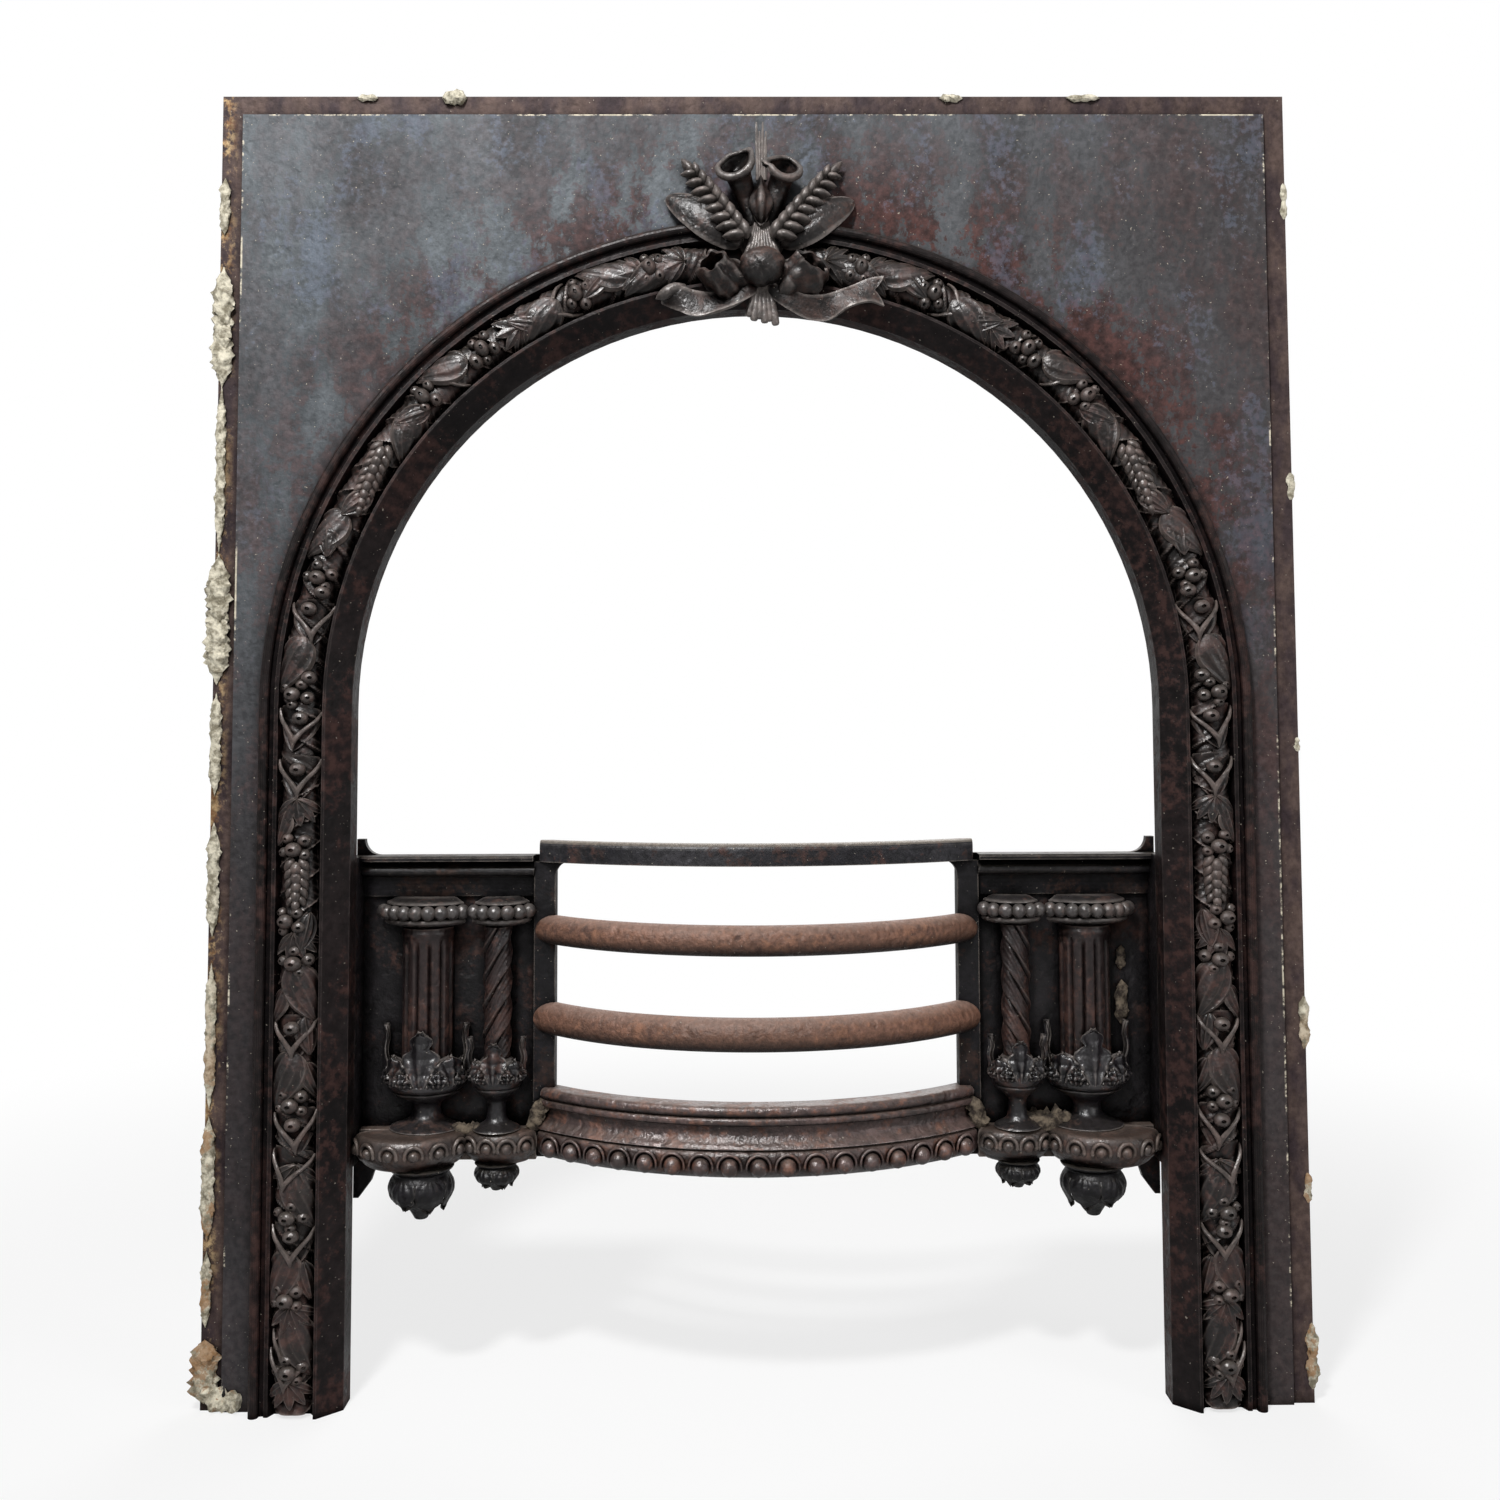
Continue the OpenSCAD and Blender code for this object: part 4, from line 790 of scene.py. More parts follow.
def make_leaf(width, length, crown, rim, rib=0.5, widest=0.42, thick=1.6, tip=0.0, vein=0.0, hollow=False,
              fine=(20, 18)):
    """A pointed blade with a raised edge and a midrib; a hollow one is dished, as a sepal is."""
    leaf = grid(*fine)

    def rule(x, y, z):
        t = (y + 1) / 2
        bulge = np.sin(np.pi * t ** (math.log(0.5) / math.log(widest))) ** 0.75
        half = width / 2 * np.clip(bulge, 0.02, 1)
        dome = crown * (1 - x * x) * np.sin(np.pi * np.clip(t, 0, 1)) ** 0.5
        edge = rim * np.exp(-((np.abs(x) - 0.86) / 0.16) ** 2) * np.clip(bulge, 0.25, 1)
        midrib = rib * np.exp(-(x / 0.12) ** 2) * (1 - t)
        veins = vein * np.cos(np.pi * 5 * x) * np.sin(np.pi * t)
        lift = tip * t ** 3
        return x * half, t * length, (-dome if hollow else dome) + edge + midrib + veins + lift
    reshape(leaf, rule)
    use_modifier(leaf, "SOLIDIFY", thickness=thick, offset=-1)
    return leaf


def make_vee(half_w=14.5, length=22, thick=1.35):
    """Two raised cords that come round the rope from both sides and meet in a point."""
    arms = []
    for side in (-1, 1):
        cord = [(side * half_w, 0, 0.6), (side * half_w * 0.72, length * 0.30, 1.1),
                (side * half_w * 0.34, length * 0.62, 1.4), (side * 0.5, length, 1.2), (0, length + 7, 0.4)]
        arms.append(pipe(cord, [0.9, thick, thick, thick * 1.15, 0.3], 8, 18))
    return joined(arms, "vee")


berry = make_berry()
grain = make_grain()
sheath = make_leaf(26, 44, 3.2, 1.3, rib=0.0, widest=0.40, tip=1.4, vein=0.42)
sepal = make_leaf(34, 34, 1.6, 1.0, rib=0.0, widest=0.22, thick=2.0, vein=0.3, hollow=True)
narrow_leaf = make_leaf(7, 20, 1.1, 0.5, rib=0.9, thick=2.2, tip=1.0, fine=(12, 9))
broad_leaf = make_leaf(14, 27, 2.0, 0.9, rib=0.9, thick=2.2, tip=1.8, vein=0.3)
vee = make_vee()
print("elements:", len(sheath.data.polygons), "faces in a sheath")

# %% [markdown]
# ## Laying out the garland
#
# The list follows the photographed garland from the ribbon down to the foot, by the distance along the arch
# from its top. The same few kinds come round again in another order, as they do on the real casting, so a
# short table of kind, distance, offset and turn is enough. The rope under them swells a little at each
# cluster.

# %% Garland layout
GARLAND_FOOT_MM = 3
ROPE_HALF_W = 12.8
ROPE_H = 8.8
SKIN_R = 11.0
ARC_LEN = GARLAND_R * math.pi / 2
GARLAND_END = ARC_LEN + SPRING_Z - GARLAND_FOOT_MM
GARLAND = [
    ("fan", 52, 1, 20), ("sheath", 60, -1, -14), ("berries", 76, 1, 0), ("fan", 84, 0, 10),
    ("sheath", 92, 0, 22), ("leaf", 108, 7, -24), ("berries", 134, -1, 20), ("vee", 140, 0, -10),
    ("sheath", 150, 1, -22), ("leaf", 166, -7, 24), ("fan", 184, -2, -14), ("berries", 214, 0, -15),
    ("berry", 226, -4, 0), ("sheath", 230, 0, 24), ("vee", 238, 0, 12), ("berries", 270, 1, 10),
    ("leaf", 276, -6, 20), ("sheath", 282, -1, -20), ("wheat", 318, 1, -8), ("leaf", 352, -8, 20),
    ("sheath", 374, 0, 20), ("leaf", 384, 7, -16), ("berries", 424, 0, 10), ("berry", 436, -4, 0),
    ("sepal", 442, 0, -8), ("berry", 450, 1, 0), ("sheath", 470, 0, 18), ("berry", 500, -5, 0),
    ("berries", 512, 1, 60), ("sepal", 520, 0, 6), ("berry", 530, -1, 0), ("sepal", 556, 0, 0),
    ("berry", 567, 0, 0), ("fan", 588, 0, 0), ("leaf", 596, 6, 14), ("berries", 622, 1, 0),
    ("wheat", 632, 0, 0), ("berries", 676, 3, 75), ("leaf", 670, -8, 10), ("fan", 684, 1, -12),
    ("berries", 704, -1, 30), ("sheath", 706, 1, -18), ("leaf", 724, 6, 20), ("sepal", 742, 1, 0),
    ("leaf", 744, -6, -6), ("berry", 752, 1, 0), ("sheath", 768, 0, 16), ("leaf", 776, -7, -16),
    ("berries", 804, 1, 0), ("sepal", 808, 0, -4), ("berry", 820, 0, 0), ("sepal", 836, 1, 8),
    ("fan", 848, -2, 10), ("sheath", 852, 0, -18), ("berries", 884, 0, 45), ("sepal", 888, 0, 0),
    ("berry", 898, 0, 0), ("sheath", 908, 1, 18), ("leaf", 916, -7, -10), ("berries", 940, 2, 0),
    ("fan", 946, 0, -8), ("sheath", 954, -1, -16), ("vee", 966, 0, 6), ("sepal", 975, 0, 6),
    ("berries", 990, -1, 20), ("fan", 998, 1, 0),
]
# Across, along, radius and lift of each berry.
CLUSTER = [(-5.4, -3.6, 4.6, 1.6), (4.6, -5.2, 4.0, 1.6), (0.6, 2.6, 5.2, 3.2), (7.6, 4.6, 3.6, 1.6),
           (-5.6, 6.4, 3.8, 1.6)]
FAN_TURNS = [-56, -30, -6, 20, 46]
LAP_MM = 21
WHEAT_ROWS = 8


def lay_berries(across, along, turn):
    """A cluster round the place: four berries and the middle one, which rides on them."""
    c, s = math.cos(math.radians(turn)), math.sin(math.radians(turn))
    return [copy_at(berry, across + dx * c + dy * s, along - dx * s + dy * c, lift, 0,
                    (r * 0.88, r, r * 0.95)) for dx, dy, r, lift in CLUSTER]


def lay_wheat(across, along, turn, rows=WHEAT_ROWS, row_mm=6.4, size=(3.1, 6.2, 2.9), spread=24, half_w=4.4):
    """Pairs of grains that part like a chevron, with a third row on their seam."""
    laid = []
    c, s = math.cos(math.radians(turn)), math.sin(math.radians(turn))
    for row in range(rows):
        step = row * row_mm + 4
        taper = 1 - 0.35 * (row / rows) ** 2
        for dx, dy, lean, lift in ((-half_w, 0, -spread, 1.4), (half_w, 0, spread, 1.4), (0, 3.2, 0, 2.9)):
            px, py = dx * taper, step + dy
            laid.append(copy_at(grain, across + px * c + py * s, along - px * s + py * c, lift, turn + lean,
                                tuple(v * taper for v in size)))
    return laid


def lay(kind, along, across, turn):
    if kind == "berries":
        return lay_berries(across, along, turn)
    if kind == "berry":
        return [copy_at(berry, across, along, 2.4, 0, (4.5, 5.0, 4.8))]
    if kind == "wheat":
        return lay_wheat(across, along, turn, rows=5 if along > 500 else WHEAT_ROWS)
    if kind == "sheath":
        return [copy_at(sheath, across, along, 1.5, turn)]
    if kind == "sepal":
        return [copy_at(sepal, across, along, 1.2, turn), copy_at(vee, across, along + 4, 2.4, turn)]
    if kind == "vee":
        return [copy_at(vee, across, along, 0.6, turn)]
    if kind == "leaf":
        return [copy_at(broad_leaf, across, along, 2.0, turn)]
    return [copy_at(narrow_leaf, across, along, 2.4, turn + lean) for lean in FAN_TURNS]


def round_the_rope(x, y, z):
    """Wraps the flat layout round the rope and then along the left half of the arch."""
    around = np.clip(x / SKIN_R, -1.62, 1.62)
    swell = 1 + 0.05 * np.sin(y * 2 * np.pi / 39)
    across, height = ROPE_HALF_W * np.sin(around), ROPE_H * swell * np.cos(around)
    lean = np.hypot(np.sin(around) * ROPE_H, np.cos(around) * ROPE_HALF_W)
    across = across + z * np.sin(around) * ROPE_H / lean
    height = np.maximum(height + z * np.cos(around) * ROPE_HALF_W / lean, 0.0)
    y = np.clip(y, 0, GARLAND_END)
    radius = GARLAND_R + across
    theta = np.minimum(y, ARC_LEN) / GARLAND_R
    px = -radius * np.sin(theta)
    pz = SPRING_Z + radius * np.cos(theta) - np.maximum(y - ARC_LEN, 0)
    return px * MM, (FACE_Y - CHANNEL_FLOOR - height) * MM, pz * MM


def make_garland():
    """The left run of the garland: a wound rope, dressed by the list and bent round the arch."""
    rope = grid(22, 900)
    start = 36

    def wound(x, y, z):
        """The wound leaves under the ornament: laps that climb round the rope, with veins across them."""
        along = start + (y + 1) / 2 * (GARLAND_END - start)
        lap = np.mod(along / LAP_MM + 0.55 * x * np.sign(np.sin(along / 61)), 1)
        veins = 0.42 * np.sin(2 * np.pi * (along + 9 * x) / 5.5) * (0.4 + 0.6 * lap)
        return x * 1.6 * SKIN_R, along, 3.0 * lap ** 1.6 - 1.0 + veins
    reshape(rope, wound)
    use_modifier(rope, "SOLIDIFY", thickness=1.2, offset=-1)
    laid = [rope]
    for kind, along, across, turn in GARLAND:
        laid += lay(kind, along, across, turn)
    garland = joined(laid, "garland_left_carving")
    reshape(garland, round_the_rope)
    return garland


garland_left = make_garland()
garland_right = mirrored(garland_left, "garland_right_carving")
hand_over(garland_left, "garland_iron", "garland_left")
hand_over(garland_right, "garland_iron", "garland_right")

# %% [markdown]
# ## The crest
#
# At the crown a ribbon ties two ears of wheat, two trumpet lilies, a bud and two long leaves. On the real
# fireplace it is one casting, riveted on. Here each flower is its own little form, made where it belongs in
# millimetres of the plate (across, up, and out towards the eye), because the forms overlap and each has to
# rest on the plate or on the moulding. Lilies and ribbon loops are open pipes, so that one looks into them.

# %% Crest
def onto_plate(x, y, z):
    """Across, up the plate and out of it, in millimetres, become a point of the scene."""
    return x * MM, (FACE_Y - z) * MM, y * MM


KNOT = (5, 826, 22)
STEM_FOOT_Z = 789
STRIP_TOP_Z = 944
EAR_ROWS = 8
BUD_X = 4.5


def make_knot():
    """The knot of the ribbon, pinched into soft diagonal folds."""
    knot = ball(40, 28)

    def rule(x, y, z):
        fold = (1 + 0.02 * np.cos(5.5 * (x * 0.8 + y)) - 0.07 * np.exp(-((x + y * 0.6 + 0.25) / 0.07) ** 2)
                - 0.06 * np.exp(-((x - y * 0.9 - 0.35) / 0.07) ** 2))
        return KNOT[0] + 17.5 * x * fold, KNOT[1] + 14.5 * y * fold, KNOT[2] + 14.5 * z * fold
    return reshape(knot, rule)


def make_bow():
    """Two loops that open towards the eye, their bands to the knot and two tails over the moulding."""
    left_loop = pipe([(-12, 817, 6), (-19, 817, 13), (-27, 821, 22), (-32, 828, 31)],
                     [10, 14.5, 14, 11.5], 42, 16, petals=4, depth=0.09, wall=2.4)
    right_loop = pipe([(21, 816, 6), (28, 816, 12), (37, 821, 19), (43, 829, 27)],
                      [10, 14.5, 14, 11], 48, 16, flat=1.2, petals=5, depth=0.10, wall=2.4)
    left_band = ribbon([(-6, 822, 20), (-13, 823, 26), (-23, 826, 28)], [5, 6, 7],
                       [-10, 10, 35], 2.4, 0.8, 1)
    right_band = ribbon([(16, 822, 20), (24, 823, 24), (33, 825, 25)], [5, 8, 10],
                        [10, -10, -25], 2.4, 1.8, 2)
    left_tail = ribbon([(2, 814, 15), (-12, 806, 19), (-28, 800, 20), (-44, 799, 19), (-58, 803, 21),
                        (-69, 805, 15)], [4, 8, 9.5, 10, 9, 5], [0, -15, -30, -10, 25, 60],
                       2.2, 1.5, 2, along=36)
    curl = pipe([(-52, 811, 17), (-60, 810, 20), (-68, 806, 18), (-74, 804, 14)], [3.5, 4.5, 4, 0], 12, 10,
                beside=(0, 0, 1))
    right_tail = ribbon([(9, 812, 15), (24, 803, 19), (38, 797, 19), (54, 797, 18), (68, 803, 20),
                         (84, 809, 20), (95, 809, 17)], [4, 8, 9, 9.5, 9, 9.5, 11],
                        [0, 15, 25, 5, -20, -10, 0], 2.2, 1.5, 2, notch=0.12, along=36, across=8)

    def crumpled(x, y, z):
        return (x + 0.7 * np.sin(0.55 * y + 0.3 * x), y + 0.7 * np.sin(0.6 * x - 0.2 * y),
                z + 0.9 * np.sin(0.45 * x + 0.5 * y))
    bow = [reshape(part, crumpled) for part in (left_loop, right_loop, left_band, right_band)]
    return bow + [left_tail, curl, right_tail]


def make_stems():
    """Cut stems that fan out below the knot, and fluted ones that carry the flowers above it."""
    laid = []
    for k in range(6):
        foot = STEM_FOOT_Z - 2.0 * (k % 2) - 0.8 * k + 3
        laid.append(pipe([(KNOT[0] + 1.7 * (k - 2.5), 818, 13), (KNOT[0] + 2.9 * (k - 2.5), 803, 14),
                          (KNOT[0] + 4.0 * (k - 2.5), foot, 13), (KNOT[0] + 4.0 * (k - 2.5), foot, 13)],
                         [2.6, 2.6, 2.9, 0], 8, 9))
    for k in range(9):
        laid.append(pipe([(KNOT[0] + 3.4 * (k - 4), 832, 15), (KNOT[0] + 2.2 * (k - 4), 844, 16.5),
                          (KNOT[0] + 1.2 * (k - 4), 862, 12)], [2.3, 2.2, 1.2], 8, 8))
    for k in range(4):
        rib_top = STRIP_TOP_Z - 7 * (k % 2)
        laid.append(pipe([(KNOT[0] + 1.6 * (k - 1.5), 899, 0), (KNOT[0] + 2.4 * (k - 1.5), rib_top, -0.9)],
                         [1.7, 1.2], 6, 8))
    filler = reshape(ball(20, 12), lambda x, y, z: (KNOT[0] + 17 * x, 850 + 17 * y, 5 + 10 * z))
    return laid + [filler]


def make_side_leaf(root, middle, tip, half_width=13.0):
    """A long leaf with a crease along its middle and its upper edge turned up."""
    leaf = grid(14, 22)
    path = [root, middle, tip]

    def rule(x, y, z):
        t = (y + 1) / 2
        ahead = direction(path, t)
        half = half_width * np.sin(np.pi * t ** 0.85) ** 0.7
        across = np.stack([-ahead[:, 1], ahead[:, 0]])
        at = along_curve(path, t).T
        crown = 4.2 * (1 - x * x) * np.sin(np.pi * t) ** 0.5 - 1.6 * np.exp(-(x / 0.10) ** 2) * (1 - t)
        rim = 1.5 * np.exp(-((np.abs(x) - 0.92) / 0.09) ** 2) * np.sin(np.pi * t)
        return at[0] + across[0] * x * half, at[1] + across[1] * x * half, at[2] + crown + rim
    reshape(leaf, rule)
    use_modifier(leaf, "SOLIDIFY", thickness=4.0, offset=0)
    return leaf


def make_ear(base, tip, inner):
    """An ear of wheat: fat grains that splay on its outer side, narrow ones on its inner side."""
    base, tip = np.array(base, float), np.array(tip, float)
    along = tip - base
    turn = math.degrees(math.atan2(along[0], along[1]))
    laid = [pipe([base, (base + tip) / 2, tip], [6, 6, 1.5], 10, 8, flat=0.8)]
    for row in range(EAR_ROWS):
        share = (row + 0.5) / EAR_ROWS
        at = base + along * share
        slim = 1 - 0.35 * share ** 3
        for side, lean, length in ((-inner, -inner * 62, 9.4), (inner, inner * 20, 8.4)):
            x = at[0] + side * 4.6 * slim * along[1] / np.linalg.norm(along)
            y = at[1] - side * 4.6 * slim * along[0] / np.linalg.norm(along)
            laid.append(copy_at(grain, x, y, at[2] + 5, turn + lean,
                                (4.4 * slim, length * slim, 6.2 * slim)))
    laid.append(copy_at(grain, tip[0], tip[1], tip[2] + 3, turn - 4 * inner, (4.2, 10, 4)))
    return laid


def make_lip(points, radius, flat, heavy, light):
    """The rolled lip round a mouth: heavy below, light above."""
    ahead = direction(points, np.array([1.0]))[0]
    side = np.cross(ahead, (1, 0, 0))
    side /= np.linalg.norm(side)
    up = np.cross(side, ahead)
    turns = np.linspace(0, 2 * np.pi, 25)
    mouth = np.array(points[-1])
    ring = [mouth + side * radius * math.cos(a) + up * radius * flat * math.sin(a) for a in turns]
    below = -math.copysign(1, side[1])
    thick = [(heavy + light) / 2 + (heavy - light) / 2 * below * math.cos(a) for a in turns]
    return pipe(ring, thick, 10, 48, beside=tuple(ahead))


def make_lily(points, radii, heart):
    """A trumpet whose thick lip rolls outwards; heart turns the lip's cusp."""
    lily = joined([pipe(points, radii, 40, 22, flat=1.12, wall=2.0),
                   make_lip(points, radii[-1] - 1, 1.12, 3.0, 1.7)], "lily")
    mouth = np.array(points[-1])

    def rule(x, y, z):
        at_lip = np.clip((y - mouth[1] + 16) / 12, 0, 1)
        angle = np.arctan2(y - mouth[1], x - mouth[0])
        cusp = 0.30 * np.exp(-((angle - math.radians(heart)) / 0.32) ** 2) - 0.10 * np.exp(
            -((angle - math.radians(150 if heart < 90 else 30)) / 0.5) ** 2)
        grow = 1 + cusp * at_lip
        return (mouth[0] + (x - mouth[0]) * grow, mouth[1] + (y - mouth[1]) * grow,
                z + 1.2 * at_lip * np.cos(2 * angle))
    return reshape(lily, rule)


def make_bud():
    """A closed bud of four petals between two raised sepal edges."""
    bud = pipe([(BUD_X, 858, 15), (BUD_X, 865, 18), (BUD_X, 876, 18), (BUD_X, 888, 12), (BUD_X, 902, 3)],
               [0, 4.6, 7.6, 4.4, 0.3], 48, 24, petals=4, depth=0.16)
    edges = [pipe([(BUD_X + side * 7.2, 881, 12), (BUD_X + side * 4.6, 866, 15), (BUD_X, 858.5, 17)],
                  [0.7, 1.0, 1.0], 6, 8) for side in (-1, 1)]
    return [bud] + edges


def make_crest():
    laid = [make_knot(), make_side_leaf((-11, 846, 10), (-38, 866, 12), (-65, 884, 3)),
            make_side_leaf((20, 846, 10), (46, 864, 12), (73, 881, 3))]
    laid += make_bow() + make_stems() + make_bud()
    laid += make_ear((-9, 849, 16), (-49, 906, 3), 1) + make_ear((16, 849, 16), (59, 904, 3), -1)
    laid.append(make_lily([(-1, 862, 7), (-5, 878, 8), (-10, 892, 11), (-13, 899, 17), (-15, 902, 23)],
                          [4, 5, 6, 7.6, 12.6], 48))
    laid.append(make_lily([(10, 862, 7), (14, 878, 8), (18, 891, 10), (21, 898, 15), (22.5, 901, 21)],
                          [4, 4.6, 5.6, 6.8, 11.2], 170))
    crest = joined(laid, "crest_carving")
    return reshape(crest, onto_plate)


hand_over(make_crest(), "crest_iron", "crest", angle=50)
discard(berry, grain, sheath, sepal, narrow_leaf, broad_leaf, vee)

# %% [markdown]
# ## The hobs' ornament
#
# Each hob carries a fluted and a twisted column, both in a cup of acanthus leaves, with a beaded shelf
# below and leafy pendants under it. Turned forms are pipes whose radius follows a profile. A leaf is drawn
# flat with its lobes and its fan of ribs, and then wrapped round the cup, so that its tips stand off the
# shaft as they do on the casting. Everything is made for the right hob and mirrored for the left one.

# %% Hob places
def half_width(node):
    """Half of a piece's width."""
    low, high = box_mm(node)
    return (high[0] - low[0]) / 2


def middle_out(node):
    """How far a piece's middle stands out of the plate's face."""
    low, high = box_mm(node)
    return FACE_Y - (low[1] + high[1]) / 2


COLUMN_R = half_width("fluted_column_right")
TWIST_R = half_width("twisted_column_right")
LARGE_OUT = FACE_Y - box_mm("fluted_column_right")[0][1] - COLUMN_R
SMALL_OUT = FACE_Y - box_mm("twisted_column_right")[0][1] - TWIST_R
PANEL_OUT = FACE_Y - box_mm("large_cup_right")[1][1] + 0.1


def set_in_both_hobs(parts, part, angle, look="hob_iron"):
    """Joins what was made for the right hob, sets it there and sets its mirror twin in the left one."""
    right = joined(parts, f"{part}_right_carving")
    reshape(right, onto_plate)
    left = mirrored(right, f"{part}_left_carving")
    hand_over(right, "hob_iron", f"{part}_right", angle=angle, look=look)
    hand_over(left, "hob_iron", f"{part}_left", angle=angle, look=look)


def turned(x, out, profile, around=48, flat_back=True):
    """A turned form from heights and radii; its back is cut flat where it meets the panel."""
    heights, radii = zip(*profile)
    path = [(x, height, out) for height in heights]
    obj = pipe(path, radii, around, 4 * len(heights))
    if flat_back:
        reshape(obj, lambda px, py, pz: (px, py, np.maximum(pz, PANEL_OUT)))
    return obj


def lobed_leaf(width, height, outline, ribs=15, crown=1.6, curl=3.0, thick=2.2, relief=1.0):
    """A carved leaf, flat on the bench. The outline gives half its width from foot to tip, lobe by lobe."""
    leaf = grid(36, 40)

    def rule(x, y, z):
        t = (y + 1) / 2
        half = width / 2 * np.clip(along_curve(outline, t)[:, 0], 0.01, None)
        across = x * half
        fan = np.arctan2(across, t * height + 5)
        ridges = 1.0 * np.cos(fan * ribs) * np.clip(0.4 + t * 2, 0, 1)
        swelling = 0.9 * np.abs(np.sin(np.pi * t * len(outline) / 3))
        edge = 0.7 * np.exp(-((np.abs(x) - 0.9) / 0.1) ** 2)
        return across, t * height, crown * (1 - x * x) + relief * (ridges + swelling) + edge + curl * t ** 3
    reshape(leaf, rule)
    use_modifier(leaf, "SOLIDIFY", thickness=thick, offset=-1)
    return leaf


def wrapped(leaf, x, out, degrees, foot_z, radii, height, upward=1):
    """A copy of the leaf bent round an upright axis; radii are those of its foot, middle and tip."""
    twin = copy_at(leaf, 0, 0)

    def rule(px, py, pz):
        radius = along_curve(radii, np.clip(py / height, 0, 1))[:, 0]
        angle = math.radians(degrees) + px / np.maximum(radius, 6)
        reach = radius + pz
        return (x + reach * np.sin(angle), foot_z + upward * py,
                np.maximum(out + reach * np.cos(angle), PANEL_OUT))
    reshape(twin, rule)
    if upward < 0:
        twin.data.flip_normals()
    return twin


# %% [markdown]
# ### Cups
#
# The foot, neck, bowl and rim are one turning. A palmette stands in front of the shaft, with round leaves
# beside it and a row of small curls before them. Two thin horns, seen on edge, rise beside the shaft.

# %% Cups
PALMETTE = [0.62, 0.98, 0.90, 1.0, 0.62, 0.74, 0.66, 0.34, 0.44, 0.36, 0.0]
ROUND_LEAF = [0.80, 1.0, 0.98, 0.86, 0.92, 0.84, 0.70, 0.46, 0.0]
HORN = [1.0, 0.9, 0.7, 0.6, 0.5, 0.4, 0.25, 0.0]
LARGE_RIM_R = 29.5


def make_cup(x, out, rim_r, rim_z, shaft_r, leaves):
    """A cup and its leaves: each kind with width, height, degrees round the cup, outline and lean."""
    k = rim_r / LARGE_RIM_R
    profile = [(SHELF_Z - 0.3, 0), (SHELF_Z - 0.2, 25 * k), (SHELF_Z + 1.4, 26 * k), (SHELF_Z + 3.2, 21 * k),
               (SHELF_Z + 6, 14 * k), (SHELF_Z + 10, 11 * k), (rim_z - 17, 10.5 * k), (rim_z - 13, 14 * k),
               (rim_z - 9.5, 21 * k), (rim_z - 6.6, 25.6 * k), (rim_z - 5.4, 26.2 * k),
               (rim_z - 4.6, 25.6 * k), (rim_z - 3.4, 28 * k), (rim_z - 1, rim_r), (rim_z + 1.6, 29 * k),
               (rim_z + 3.2, 26.5 * k), (rim_z + 2.6, 24 * k), (rim_z + 8, shaft_r + 0.9),
               (rim_z + 16, shaft_r + 0.4), (rim_z + 16.2, 0)]
    laid = [turned(x, out, profile, 64)]
    for width, height, degrees, outline, lean in leaves:
        leaf = lobed_leaf(width, height, outline, crown=2.4, thick=3.0)
        radii = [rim_r - 2.8, shaft_r + 3.4 + lean, shaft_r + lean]
        laid += [wrapped(leaf, x, out, a, rim_z - 0.5, radii, height) for a in degrees]
        discard(leaf)
    return laid


LARGE_LEAVES = [
    (38, 41, (0,), PALMETTE, 1.6), (34, 22, (-50, 50), ROUND_LEAF, 4.0),
    (30, 18, (-88, 88), ROUND_LEAF, 4.0), (17, 12, (-27, 27, -68, 68), ROUND_LEAF, 6.5),
    (7, 44, (-84, 84), HORN, 5.5)]
SMALL_LEAVES = [
    (25, 29, (0,), PALMETTE, 1.4), (23, 16, (-54, 54), ROUND_LEAF, 3.0),
    (12, 9, (-30, 30, -76, 76), ROUND_LEAF, 4.6), (5, 32, (-84, 84), HORN, 4.0)]
large_cup = make_cup(LARGE_X, LARGE_OUT, LARGE_RIM_R, 223, COLUMN_R, LARGE_LEAVES)
small_cup = make_cup(SMALL_X, SMALL_OUT, 19, 226, TWIST_R, SMALL_LEAVES)
set_in_both_hobs(large_cup, "large_cup", angle=50)
set_in_both_hobs(small_cup, "small_cup", angle=50)

# %% [markdown]
# ### Shafts
#
# The large shaft has a dozen narrow flutes that stop short of a ring at its top. The small one is wound
# with leaf bands: each band laps over the next, and the lap is a saw tooth in the radius that climbs round
# the shaft. Both start as a grid that is rolled up, with the radius of every point given by its angle and
# its height.

# %% Shafts
FLUTES = 12
FLUTE_DEPTH = 2.3
TURN_MM = 84
WOUND_BANDS = 4


def rolled_shaft(x, out, foot, around, along, radius_at):
    """A grid rolled into a shaft with closed ends, its back cut flat at the panel."""
    shaft = grid(around, along)

    def rule(px, py, pz):
        angle = np.pi * px
        height = foot + (py + 1) / 2 * (CAPITAL_Z - foot)
        radius = np.where(np.abs(py) > 0.9999, 0, radius_at(angle, height))
        return x + radius * np.sin(angle), height, np.maximum(out + radius * np.cos(angle), PANEL_OUT)
    reshape(shaft, rule)
    return close_seam(shaft, 0.02)


def fluted_radius(angle, height):
    from_groove = np.mod(FLUTES * angle / (2 * np.pi), 1) - 0.5
    stop = np.sqrt(np.clip((CAPITAL_Z - 11 - height) / 5, 0, 1))
    ring = 1.1 * np.exp(-((height - (CAPITAL_Z - 6)) / 1.8) ** 2)
    return COLUMN_R - 0.6 - FLUTE_DEPTH * stop * np.exp(-(from_groove / 0.14) ** 2) + ring


